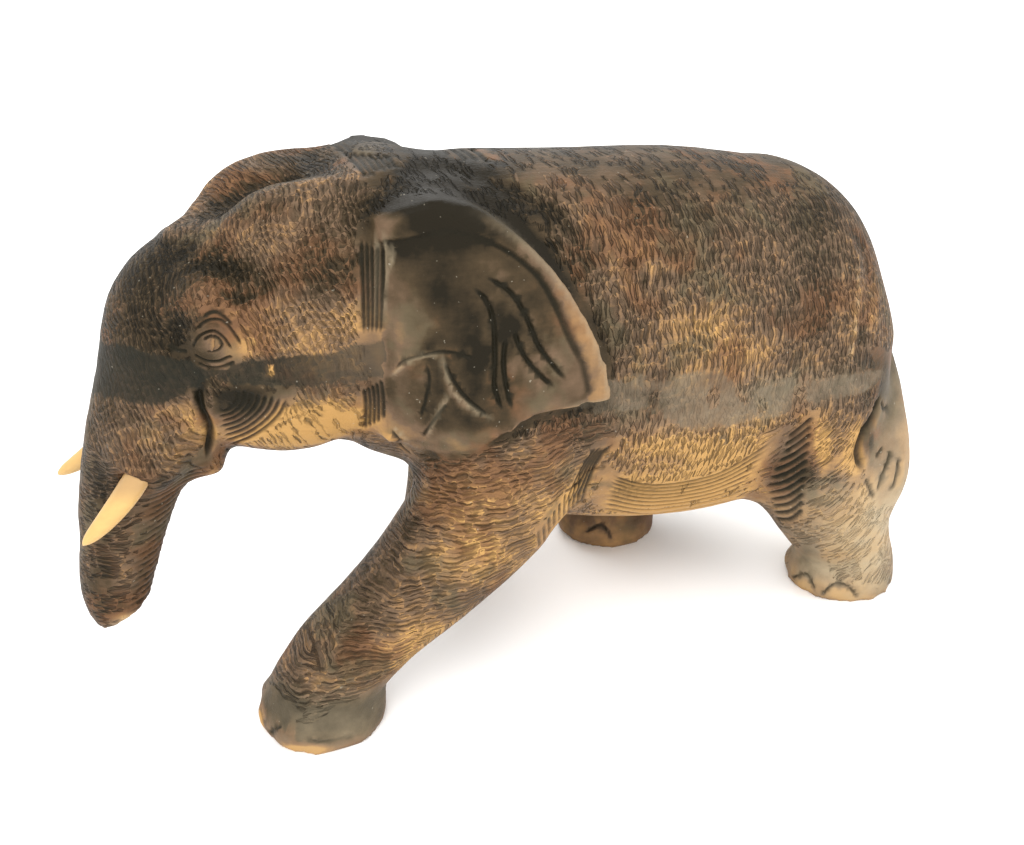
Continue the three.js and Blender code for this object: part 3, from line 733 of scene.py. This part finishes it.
def charts(p):
    """Two layouts of the nicks, and how much of the second one shows at each point."""
    first = np.where((p[:, 0] < 20)[:, None], trunk_chart(p), body_chart(p))
    second = head_chart(p)
    legs = np.zeros(len(p))
    for name, (top, lean) in LEG_ROWS.items():
        share = limb_share(name, p, top, 2)
        taken = (share > legs) & (share > 0.001)
        second = np.where(taken[:, None], leg_chart(p, name, lean), second)
        legs = np.maximum(legs, share)
    return first, second, np.maximum(head_share(p), legs)


def paint(mesh, name, values):
    """Keeps one number, or one vector, for each point of a mesh."""
    kind = "FLOAT" if values.ndim == 1 else "FLOAT_VECTOR"
    layer = mesh.attributes.new(name, kind, "POINT")
    layer.data.foreach_set("value" if values.ndim == 1 else "vector", values.ravel().astype(np.float32))


def carve_elephant(voxel):
    """The whole carving as one fine mesh, with its lines cut and its hide laid out."""
    shape = merged_copy("elephant")
    fill_sockets(shape)
    piece = new_piece("carved_elephant", shape)
    remesh = piece.modifiers.new("even", "REMESH")
    remesh.mode = "VOXEL"
    remesh.voxel_size = voxel * MM
    bake_modifiers(piece)
    points = evened(points_of(piece.data), edges_of(piece.data), EVENING_ROUNDS)
    move_points(piece.data, stood_level(points))
    tree = BVHTree.FromObject(piece, bpy.context.evaluated_depsgraph_get())
    grooves = [(Lines(tree, lines, mirrored), half, depth, dark) for lines, half, depth, dark, mirrored in
               GROOVES.values()]
    swells = [(Lines(tree, lines, mirrored), half, rise) for lines, half, rise, mirrored in SWELLS.values()]
    refine_fully(piece, [(lines, half) for lines, half, _, _ in grooves])
    rise, dark, folds = relief_of(piece, grooves, swells)
    both = np.stack([rise, dark], axis=1)
    rise, dark = ((1 - RELIEF_BLUR) * both + RELIEF_BLUR * neighbour_mean(both, edges_of(piece.data))).T
    points, normals = points_of(piece.data), normals_of(piece.data)
    pale = Lines(tree, PALE_LINES, True).nearness(points, PALE_REACH * MM)
    points = points + normals * rise[:, None]
    move_points(piece.data, stood_level(points))
    paint_regions(piece.data, dark, pale, folds)
    piece.data.shade_smooth()
    return piece


def near_eye(points, p, spot):
    """Which points of the face show, or their mirror images do, within reach of a spot in the photograph."""
    middle, reach = spot
    return (np.hypot(*(seen_of(points) - middle).T) < reach) & (p[:, 0] < FACE_BACK)


def refine_fully(piece, families):
    """Splits the edges along all carved lines, again on the near side's front, and once more at its eye."""
    points, p = places_of(piece.data)
    trunk = (p[:, 0] < TRUNK_BACK) & (p[:, 2] < 29)
    rim, _, _ = off_line(seen_of(points), EAR_RIM_LINE)
    ear = (rim < 12) & (ear_share(p) > 0)
    refine_where(piece, near_lines(points, families, FINE_MARGIN) | trunk | ear)
    points, p = places_of(piece.data)
    shown = (p[:, 1] < -2) & (p[:, 0] < 60) & (p[:, 2] > 22) & (p[:, 2] < 50)
    refine_where(piece, shown & (near_lines(points, families, FINER_MARGIN) | near_eye(points, p, EYE_FINE)))
    points, p = places_of(piece.data)
    refine_where(piece, near_eye(points, p, EYE_FINEST) & (p[:, 1] < 0) & (p[:, 2] > 22))


def relief_of(piece, grooves, swells):
    """How far each point stands out, in metres, how dark it is painted (grime in its groove or ring, painted
    shade on the ear's rim wall and in the tail gap), and how near a fold it is.
    """
    points, p = places_of(piece.data)
    rise = np.zeros(len(points))
    dark = np.zeros(len(points))
    folds = np.zeros(len(points))
    for lines, half, height in swells:
        rise += height * MM * eased(0, 1, lines.nearness(points, 2 * half * MM))
    for lines, half, depth, darkness in grooves:
        reach = GROOVE_FLARE * half
        near = lines.nearness(points, (reach + FOLD_MARGIN) * MM)
        folds = np.maximum(folds, eased(0, 0.3, near))
        near = np.maximum(1 - (1 - near) * (reach + FOLD_MARGIN) / reach, 0)
        rise -= depth * MM * eased(0, 1, near)
        dark = np.maximum(dark, darkness * np.clip(near * 1.5, 0, 1))
    # The ear's rim gives painted shade, the trunk's rings give grime.
    for sunk, dirt_and_shade in (ear_hollow(points, p), trunk_rings(p)):
        rise -= sunk * MM
        dark = np.maximum(dark, dirt_and_shade)
    return rise, dark, folds


def ear_hollow(points, p):
    """How far the ears' faces are sunk behind their rims, in millimetres, and the painted shade on the inner
    wall of the rim.
    """
    rim, side, along = off_line(seen_of(points), EAR_RIM_LINE)
    inward = np.where(side < 0, rim, -rim)
    wall = 3 + 6 * eased(0.35, 0.75, along)
    sunk = EAR_SUNK * ear_share(p) * (1 - eased(0, 1, inward / wall))
    # Painted shade: the rim's inner wall is darkened as if in its own shadow, most towards the back and down.
    dirt_and_shade = (0.45 + 0.45 * eased(0.4, 0.7, along)) * ear_share(p) * bell(inward, 0.3 * wall, 0.36 * wall)
    return sunk, dirt_and_shade


def trunk_rings(p):
    """Grooves around the back of the trunk, in millimetres, and their dirt; they fade to its front and tip."""
    x, _, half = limb_middle("trunk", p[:, 2])
    behind = eased(-0.1, 0.6, (p[:, 0] - x) / half) * (p[:, 0] < TRUNK_BACK)
    behind = behind * (1 - eased(26, 29, p[:, 2])) * eased(10, 13, p[:, 2])
    wave = 0.5 + 0.5 * np.cos(2 * np.pi * (p[:, 2] - 0.15 * (p[:, 0] - x)) / TRUNK_RING_PITCH)
    groove = behind * wave ** 2
    return TRUNK_RING_DEPTH * groove, groove


def paint_regions(mesh, dark, pale, folds):
    """Keeps what the wood's finish needs to know at each point."""
    points, normals, edges = points_of(mesh), normals_of(mesh), edges_of(mesh)
    p = to_parts(points)
    bend = ((neighbour_mean(points, edges) - points) * normals).sum(axis=1)[:, None] / MM
    for _ in range(3):
        bend = (bend + neighbour_mean(bend, edges)) / 2
    first, second, share = charts(p)
    seen = seen_of(points)
    flat = np.zeros((len(p), 1))
    # The ear rim's outer edge is painted pale: partly worn wood, partly a painted highlight.
    edge = ear_share(p) * bell(ear_depth(p), 0.1, 0.35) * eased(39, 46, p[:, 0] + 0.2 * (p[:, 2] - 34))
    paint(mesh, "nicks_first", np.hstack([first, flat]))
    paint(mesh, "nicks_second", np.hstack([second, flat]))
    paint(mesh, "nicks_share", share)
    paint(mesh, "smooth", np.maximum(smooth_share(p, seen, normals), 0.97 * folds))
    paint(mesh, "filler", paste_share(p, seen))
    paint(mesh, "rubbed", 0.3 * eased(20, 26, p[:, 0]) + 0.7 * eased(40, 46, p[:, 0]))
    paint(mesh, "worn", worn_and_shade_share(p, seen, normals))
    paint(mesh, "dusty", np.clip(added_up(p[:, [0, 2]], DUSTY, 0), 0, 1))
    paint(mesh, "pale", np.clip(np.maximum(edge, pale), 0, 1))
    paint(mesh, "dark", dark)
    paint(mesh, "bend", bend[:, 0])


# Materials

class Web:
    """Adds nodes to one node tree and joins them."""

    def __init__(self, tree):
        self.tree = tree

    def add(self, kind, inputs=None, **settings):
        node = self.tree.nodes.new(kind)
        for key, value in settings.items():
            setattr(node, key, value)
        for key, value in (inputs or {}).items():
            self.set(node.inputs[key], value)
        return node

    def set(self, socket, value):
        if isinstance(value, bpy.types.NodeSocket):
            self.tree.links.new(value, socket)
        else:
            socket.default_value = value

    def math(self, operation, *values, clamp=False):
        node = self.add("ShaderNodeMath", operation=operation, use_clamp=clamp)
        for i, value in enumerate(values):
            self.set(node.inputs[i], value)
        return node.outputs[0]

    def mix(self, share, a, b):
        node = self.add("ShaderNodeMix", data_type="RGBA", clamp_factor=True)
        for i, value in ((0, share), (6, a), (7, b)):
            self.set(node.inputs[i], value)
        return node.outputs[2]

    def blend(self, share, a, b):
        node = self.add("ShaderNodeMix", data_type="FLOAT", clamp_factor=True)
        for i, value in ((0, share), (2, a), (3, b)):
            self.set(node.inputs[i], value)
        return node.outputs[0]

    def total(self, *values):
        """Adds values up, from the first to the last."""
        result = values[0]
        for value in values[1:]:
            result = self.math("ADD", result, value)
        return result

    def product(self, *values):
        """Multiplies values, from the first to the last."""
        result = values[0]
        for value in values[1:]:
            result = self.math("MULTIPLY", result, value)
        return result

    def line(self, value, slope, start):
        """A value times a slope, plus a start."""
        return self.math("MULTIPLY_ADD", value, slope, start)

    def centred(self, value, spread):
        """A value between 0 and 1 as an even spread around 0."""
        return self.line(value, spread, -spread / 2)

    def rest(self, value):
        """What is left up to 1."""
        return self.math("SUBTRACT", 1.0, value)

    def vector(self, operation, a, b):
        """A sum, difference or product of two vectors."""
        return self.add("ShaderNodeVectorMath", {0: a, 1: b}, operation=operation).outputs[0]

    def noise(self, vector, scale, detail=3.0, rough=0.55):
        node = self.add("ShaderNodeTexNoise", {"Vector": vector, "Scale": scale, "Detail": detail,
                                               "Roughness": rough})
        return node.outputs["Fac"]

    def drift(self, vector, scale, detail):
        """A wandering offset around 0 in all three directions."""
        node = self.add("ShaderNodeTexNoise", {"Vector": vector, "Scale": scale, "Detail": detail})
        return self.vector("SUBTRACT", node.outputs["Color"], (0.5, 0.5, 0.5))

    def luck(self, inputs, dimensions):
        """A chance value between 0 and 1, the same each time for the same inputs."""
        node = self.add("ShaderNodeTexWhiteNoise", inputs, noise_dimensions=dimensions)
        return node.outputs["Value"]

    def object_place(self):
        """Each point's place on the object, in metres."""
        return self.add("ShaderNodeTexCoord").outputs["Object"]

    def kept(self, name, output="Fac"):
        """What the mesh keeps under a name at each point."""
        return self.add("ShaderNodeAttribute", attribute_name=name).outputs[output]

    def step(self, value, low, high):
        """0 below low, 1 above high and smooth between."""
        node = self.add("ShaderNodeMapRange", {"Value": value, "From Min": low, "From Max": high},
                        interpolation_type="SMOOTHSTEP")
        return node.outputs["Result"]

    def bump(self, height, strength, depth):
        """A normal bent by a height, with its depth in millimetres."""
        node = self.add("ShaderNodeBump", {"Height": height, "Strength": strength, "Distance": depth * MM})
        return node.outputs["Normal"]


def new_group(name, inputs, outputs):
    """An empty node group with its sockets, and the web to fill it with."""
    tree = bpy.data.node_groups.new(name, "ShaderNodeTree")
    for label, kind, value in inputs:
        socket = tree.interface.new_socket(label, in_out="INPUT", socket_type=kind)
        if value is not None:
            socket.default_value = value
    for label, kind in outputs:
        tree.interface.new_socket(label, in_out="OUTPUT", socket_type=kind)
    web = Web(tree)
    return web, web.add("NodeGroupInput"), web.add("NodeGroupOutput")


def nick_group():
    """Rows of knife nicks laid out on a chart, one to a cell, each a slender wedge."""
    web, into, out = new_group(
        "knife_nicks",
        [("Chart", "NodeSocketVector", None), ("Waver", "NodeSocketFloat", 0.5),
         ("Bare", "NodeSocketFloat", 0.0), ("Zigzag", "NodeSocketFloat", 0.0)],
        [("Cut", "NodeSocketFloat"), ("Facet", "NodeSocketFloat")])
    place = web.object_place()
    waver = web.vector("ADD", web.drift(place, 150.0, 2.0),
                       web.vector("MULTIPLY", web.drift(place, 38.0, 1.0), (3.0, 3.0, 3.0)))
    waver = web.add("ShaderNodeVectorMath", {0: waver, "Scale": into.outputs["Waver"]}, operation="SCALE")
    chart = web.vector("ADD", into.outputs["Chart"], waver.outputs[0])
    apart = web.add("ShaderNodeSeparateXYZ", {0: chart})
    across, along = apart.outputs[0], apart.outputs[1]

    # Each column is shifted along by chance, and each cell of it holds one nick or none
    column = web.math("FLOOR", across)
    along = web.total(along, web.luck({"W": column}, "1D"))
    cell = web.add("ShaderNodeCombineXYZ", {0: column, 1: web.math("FLOOR", along)}).outputs[0]
    luck = web.luck({"Vector": cell}, "2D")
    tilt = web.luck({"Vector": cell, "W": 7.0}, "4D")
    kept = web.math("GREATER_THAN", web.total(luck, 0.001), into.outputs["Bare"])
    side = web.math("FRACT", across)
    offset = web.math("SUBTRACT", side, 0.5)
    up = web.math("FRACT", along)

    # A wedge widens slowly along its cell and ends short
    taper = web.product(up, web.math("MINIMUM", web.product(web.rest(up), 4.0), 1.0))
    width = web.math("MAXIMUM", web.product(taper, web.line(luck, 0.9, 0.45)), 0.03)
    beside = web.product(web.math("ABSOLUTE", offset), 2.0)
    cut = web.math("SUBTRACT", 1.0, web.math("DIVIDE", beside, width), clamp=True)
    cut = web.math("POWER", cut, 0.75)
    cut = web.product(cut, web.line(tilt, 0.7, 0.45), kept, web.step(taper, 0.05, 0.3))

    # A zigzag line runs from column to column
    bent = web.line(web.math("ABSOLUTE", web.line(side, 2.0, -1.0)), 0.62, 0.12)
    away = web.math("ABSOLUTE", web.math("SUBTRACT", up, bent))
    zigzag = web.math("SUBTRACT", 1.0, web.math("DIVIDE", away, web.line(luck, 0.1, 0.09)), clamp=True)
    cut = web.math("MAXIMUM", cut, web.product(zigzag, kept, into.outputs["Zigzag"]))
    web.set(out.inputs["Cut"], cut)

    # Each facet leans to a side by chance, and rises along its nick
    facet = web.product(offset, web.line(tilt, 1.6, -0.8))
    facet = web.total(facet, web.product(web.math("SUBTRACT", up, 0.5), 0.5))
    web.set(out.inputs["Facet"], web.product(facet, kept))
    return web.tree


def grain_group():
    """Long streaks of grain along the block."""
    web, into, out = new_group("wood_grain", [("Stretch", "NodeSocketFloat", 14.0)],
                               [("Streak", "NodeSocketFloat")])
    apart = web.add("ShaderNodeSeparateXYZ", {0: web.object_place()}).outputs
    squeezed = web.math("DIVIDE", apart[0], into.outputs["Stretch"])
    around = web.add("ShaderNodeCombineXYZ", {0: squeezed, 1: apart[1], 2: apart[2]}).outputs[0]
    web.set(out.inputs["Streak"], web.noise(around, 420.0, 4.0, 0.6))
    return web.tree


def place_group(web, tree, inputs=None):
    """A node group in a material, with values of its own."""
    node = web.add("ShaderNodeGroup", node_tree=tree)
    for key, value in (inputs or {}).items():
        web.set(node.inputs[key], value)
    return node


def new_material(name):
    """A material, the web to build it with, and its surface shader."""
    material = bpy.data.materials.new(name)
    material.use_nodes = True
    web = Web(material.node_tree)
    return material, web, material.node_tree.nodes["Principled BSDF"]


def nicked(web, nicks, patchy, smooth):
    """The nicks of both layouts, led over from one to the other along a ragged border."""
    first, second = (
        place_group(web, nicks, {"Chart": web.kept(chart, "Vector"), "Waver": waver, "Bare": smooth,
                                 "Zigzag": zigzag})
        for chart, waver, zigzag in (("nicks_first", 1.0, 0.8), ("nicks_second", 1.3, 0.35)))
    over = web.step(web.total(web.kept("nicks_share"), web.centred(patchy, 0.5)), 0.42, 0.58)
    return [web.blend(over, first.outputs[name], second.outputs[name]) for name in ("Cut", "Facet")]


def pasted(web, place, patchy, cut):
    """1 where paste fills the glue joint, ragged at its edges and left longest in the nicks."""
    inside = web.kept("filler")
    band = web.total(inside, web.line(patchy, 2.2, -1.05), web.product(cut, 0.55),
                     web.centred(web.noise(place, 260.0, 2.0), 0.9))
    return web.product(web.step(band, -0.12, 0.4), web.step(inside, -0.6, -0.2))


def worn_with_facet_light(web, place, patchy, smooth, streak, facet):
    """How far the stain is worn: more in patches, along the grain and on edges, less in hollows; each nick's
    facet is painted lighter or darker by its lean, as painted light and shade.
    """
    grained = web.line(smooth, -0.75, 1.0)
    edge = web.product(web.kept("bend"), -1.4)
    # The facet term is painted light and shade on the sides of each nick.
    return web.total(web.kept("worn"), web.centred(web.noise(place, 17.0, 4.0, 0.6), 0.8),
                     web.centred(patchy, 0.5), web.product(web.centred(streak, 0.4), grained),
                     web.math("MINIMUM", web.math("MAXIMUM", edge, -0.2), 0.3), web.product(facet, 0.4))


def stain_colour(web, looks, place, worn):
    """From dark stain to amber wood, with redder and greener patches where it is half worn."""
    ramp = web.add("ShaderNodeValToRGB", {"Fac": worn})
    stops = ramp.color_ramp.elements
    stops[0].position, stops[0].color = 0.0, looks.stain
    stops[1].position, stops[1].color = 1.0, looks.amber
    for at, colour in ((0.25, looks.brown), (0.5, looks.russet), (0.75, looks.tan)):
        stop = stops.new(at)
        stop.color = colour
    colour = ramp.outputs["Color"]
    middling = web.product(web.step(worn, 0.15, 0.4), web.rest(web.step(worn, 0.75, 1.0)))
    for cloud, low, high, most, patch in ((web.noise(place, 24.0, 3.0), 0.48, 0.62, 0.55, looks.rust),
                                          (web.noise(place, 31.0, 3.0, 0.6), 0.52, 0.66, 0.5, looks.moss)):
        colour = web.mix(web.product(web.step(cloud, low, high), middling, most), colour, patch)
    return colour


def soiled(web, looks, place, patchy, colour, cut, filler):
    """The colour with dusty patches, pale edges that are partly a painted highlight, grime in the cuts with
    painted shade along the ear's rim and in the tail gap, the joint's paste and small specks over it.
    """
    colour = web.mix(web.product(web.kept("dusty"), web.line(patchy, 1.2, 0.2)), colour, looks.dust_and_highlight)
    # Pale edges: partly worn wood, partly a painted highlight.
    colour = web.mix(web.product(web.kept("pale"), 0.4), colour, looks.dust_and_highlight)
    faint = web.line(web.kept("dusty"), -0.55, 0.68)
    # Grime and stain in the cuts, with painted shade along the ear's rim wall and in the tail gap.
    pigment_and_shade = web.math("MAXIMUM", web.product(cut, faint), web.kept("dark"))
    colour = web.mix(web.product(pigment_and_shade, 0.88), colour, looks.pigment_and_shade)
    rubbed = web.product(web.kept("rubbed"), web.line(patchy, 1.6, -0.1))
    paste = web.mix(rubbed, looks.filler, looks.filler_dusty)
    cover = web.line(patchy, 0.8, web.line(web.kept("rubbed"), -0.3, 0.4))
    colour = web.mix(web.product(filler, cover), colour, paste)
    specks = web.step(web.noise(place, 420.0, 1.0, 0.5), 0.76, 0.8)
    return web.mix(web.product(specks, 0.35), colour, looks.speck)


def stained_wood(looks, nicks, grain):
    """Dark stained, waxed and worn wood, nicked all over with a knife."""
    material, web, surface = new_material("stained_wood")
    place = web.object_place()
    smooth = web.kept("smooth")
    patchy = web.noise(place, 60.0, 4.0, 0.6)
    streak = place_group(web, grain).outputs["Streak"]
    cut, facet = nicked(web, nicks, patchy, smooth)
    filler = pasted(web, place, patchy, cut)
    cut = web.product(cut, web.rest(web.product(filler, 0.7)))
    worn = worn_with_facet_light(web, place, patchy, smooth, streak, facet)
    colour = stain_colour(web, looks, place, worn)
    web.set(surface.inputs["Base Color"], soiled(web, looks, place, patchy, colour, cut, filler))
    web.set(surface.inputs["Roughness"], web.blend(filler, web.line(patchy, 0.3, 0.35), 0.55))
    surface.inputs["Specular IOR Level"].default_value = 0.07
    height = web.total(web.product(cut, -1.0), web.product(facet, 0.55, web.rest(filler)),
                       web.product(streak, 0.15), web.product(web.noise(place, 700.0, 2.0), 0.2))
    web.set(surface.inputs["Normal"], web.bump(height, 1.0, 1.5))
    return material


def tusk_wood(looks, grain):
    """Pale bare wood with its grain along the peg, darker near its top where it meets the face."""
    material, web, surface = new_material("tusk_wood")
    streak = place_group(web, grain, {"Stretch": 2.5}).outputs["Streak"]
    tone = web.total(web.product(streak, 0.6), web.product(web.noise(web.object_place(), 120.0), 0.4))
    colour = web.mix(tone, looks.tusk_dark, looks.tusk)
    colour = web.mix(web.product(web.kept("root"), 0.6), colour, looks.tan)
    web.set(surface.inputs["Base Color"], colour)
    web.set(surface.inputs["Roughness"], web.line(streak, 0.2, 0.35))
    web.set(surface.inputs["Normal"], web.bump(streak, 0.4, 0.2))
    return material


def pale_floor(looks):
    """A plain pale floor with slightly darker patches."""
    material, web, surface = new_material("pale_floor")
    tone = web.noise(web.object_place(), 3.0, 2.0)
    web.set(surface.inputs["Base Color"], web.mix(tone, looks.floor_shade, looks.floor))
    surface.inputs["Roughness"].default_value = 0.9
    return material


# The stage

def lay_floor(looks):
    """A flat floor under the soles."""
    shape = bmesh.new()
    bmesh.ops.create_grid(shape, x_segments=1, y_segments=1, size=FLOOR_HALF)
    floor = new_piece("floor", shape)
    floor.data.materials.append(pale_floor(looks))


def hang_lights(scene):
    """Round soft lights, and a pale world around the carving."""
    for name, at, size, power in LIGHTS:
        light = bpy.data.lights.new(name, "AREA")
        light.shape = "DISK"
        light.size = size
        light.energy = power
        lamp = bpy.data.objects.new(name, light)
        lamp.location = at
        lamp.rotation_euler = (LIGHTS_AIM - Vector(at)).to_track_quat("-Z", "Y").to_euler()
        scene.collection.objects.link(lamp)
    world = bpy.data.worlds.new("studio")
    world.use_nodes = True
    sky = world.node_tree.nodes["Background"]
    sky.inputs["Color"].default_value = WORLD_COLOUR
    sky.inputs["Strength"].default_value = WORLD_STRENGTH
    scene.world = world
    scene.view_settings.view_transform = "Standard"


def set_up_camera(scene):
    """The camera, where the photograph was taken from."""
    lens = bpy.data.cameras.new("camera")
    lens.sensor_width = SENSOR
    lens.lens = FOCAL_PIXELS * SENSOR / PHOTO_WIDTH
    camera = bpy.data.objects.new("camera", lens)
    turn = Matrix(camera_axes()).transposed().to_4x4()
    camera.matrix_world = Matrix.Translation(CAMERA_AT) @ turn
    scene.collection.objects.link(camera)
    scene.camera = camera


# Settings that a user may change

def colour_setting(name, description, default):
    return bpy.props.FloatVectorProperty(name=name, description=description, default=default, size=4,
                                         min=0, max=1, subtype="COLOR")


class ElephantLooks(bpy.types.PropertyGroup):
    """Colours of the finish and of the floor."""

    stain: colour_setting("Stain", "Darkest stain, on the back and face", (0.0125, 0.0098, 0.0055, 1))
    brown: colour_setting("Brown", "Stain where it is thinner", (0.050, 0.034, 0.018, 1))
    russet: colour_setting("Russet", "Half worn stain", (0.128, 0.082, 0.050, 1))
    tan: colour_setting("Tan", "Mostly worn stain", (0.270, 0.156, 0.070, 1))
    amber: colour_setting("Amber", "Wood with its stain worn off", (0.430, 0.246, 0.086, 1))
    rust: colour_setting("Rust", "Redder patches of the stain", (0.140, 0.060, 0.024, 1))
    moss: colour_setting("Moss", "Greener patches of the stain", (0.085, 0.074, 0.042, 1))
    # This colour also paints the shade along the ear's rim wall and in the tail gap.
    pigment_and_shade: colour_setting("Pigment", "Dirt and stain in the cuts", (0.014, 0.012, 0.007, 1))
    filler: colour_setting("Filler", "Paste in the glue joint", (0.016, 0.0155, 0.011, 1))
    filler_dusty: colour_setting("Dusty filler", "Paste where it is rubbed", (0.155, 0.126, 0.088, 1))
    # This colour also paints the highlight on the thin pale edges.
    dust_and_highlight: colour_setting("Dust", "Greyish worn wood low on the legs", (0.36, 0.29, 0.19, 1))
    speck: colour_setting("Speck", "Small pale specks", (0.4, 0.36, 0.28, 1))
    tusk: colour_setting("Tusk", "Bare wood of the tusks", (0.62, 0.41, 0.135, 1))
    tusk_dark: colour_setting("Tusk grain", "Darker grain of the tusks", (0.50, 0.28, 0.095, 1))
    floor: colour_setting("Floor", "Pale floor", (0.98, 0.98, 0.985, 1))
    floor_shade: colour_setting("Floor shade", "Darker patches of the floor", (0.955, 0.955, 0.955, 1))


class ElephantSizes(bpy.types.PropertyGroup):
    """Sizes of the fine mesh."""

    voxel: bpy.props.FloatProperty(name="Mesh pitch", default=3.35, min=1.5, max=10,
                                   description="Size of the fine mesh's faces in millimetres")


# Operators

class ELEPHANT_OT_carving(bpy.types.Operator):
    """Carves the elephant and gives it its stained wood."""

    bl_idname = "elephant.carving"
    bl_label = "Carve the elephant"

    def execute(self, context):
        scene = context.scene
        piece = carve_elephant(scene.elephant_sizes.voxel)
        piece.data.materials.clear()
        piece.data.materials.append(stained_wood(scene.elephant_looks, nick_group(), grain_group()))
        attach(piece, "root")
        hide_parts("elephant")
        return {"FINISHED"}


class ELEPHANT_OT_tusks(bpy.types.Operator):
    """Whittles the two tusk pegs."""

    bl_idname = "elephant.tusks"
    bl_label = "Whittle the tusks"

    def execute(self, context):
        finish = tusk_wood(context.scene.elephant_looks, bpy.data.node_groups["wood_grain"])
        for side in ("left", "right"):
            node = f"tusk_{side}"
            piece = new_piece(f"whittled_tusk_{side}", merged_copy(node))
            swell = piece.modifiers.new("round", "SUBSURF")
            swell.levels = swell.render_levels = 2
            bake_modifiers(piece)
            points = points_of(piece.data)
            top = points[:, 2].max()
            full, gone = (top - below * MM for below in TUSK_DARKENING)
            paint(piece.data, "root", eased(gone, full, points[:, 2]))
            piece.data.materials.clear()
            piece.data.materials.append(finish)
            piece.data.shade_smooth()
            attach(piece, "root")
            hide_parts(node)
        return {"FINISHED"}


class ELEPHANT_OT_stage(bpy.types.Operator):
    """Sets the floor, the lights and the camera."""

    bl_idname = "elephant.stage"
    bl_label = "Set the stage"

    def execute(self, context):
        lay_floor(context.scene.elephant_looks)
        hang_lights(context.scene)
        set_up_camera(context.scene)
        return {"FINISHED"}


class ELEPHANT_PT_panel(bpy.types.Panel):
    """Lists the steps that make the elephant, and its settings."""

    bl_label = "Elephant"
    bl_idname = "ELEPHANT_PT_panel"
    bl_space_type = "VIEW_3D"
    bl_region_type = "UI"
    bl_category = "Elephant"

    def draw(self, context):
        for operator in (ELEPHANT_OT_carving, ELEPHANT_OT_tusks, ELEPHANT_OT_stage):
            self.layout.operator(operator.bl_idname)
        for group in (context.scene.elephant_sizes, context.scene.elephant_looks):
            for key in group.__annotations__:
                self.layout.prop(group, key)


CLASSES = (ElephantLooks, ElephantSizes, ELEPHANT_OT_carving, ELEPHANT_OT_tusks, ELEPHANT_OT_stage,
           ELEPHANT_PT_panel)


def register():
    for kind in CLASSES:
        bpy.utils.register_class(kind)
    bpy.types.Scene.elephant_looks = bpy.props.PointerProperty(type=ElephantLooks)
    bpy.types.Scene.elephant_sizes = bpy.props.PointerProperty(type=ElephantSizes)


def unregister():
    del bpy.types.Scene.elephant_sizes
    del bpy.types.Scene.elephant_looks
    for kind in reversed(CLASSES):
        bpy.utils.unregister_class(kind)


def main():
    register()
    bpy.ops.elephant.carving()
    bpy.ops.elephant.tusks()
    bpy.ops.elephant.stage()


if __name__ == "__main__":
    main()
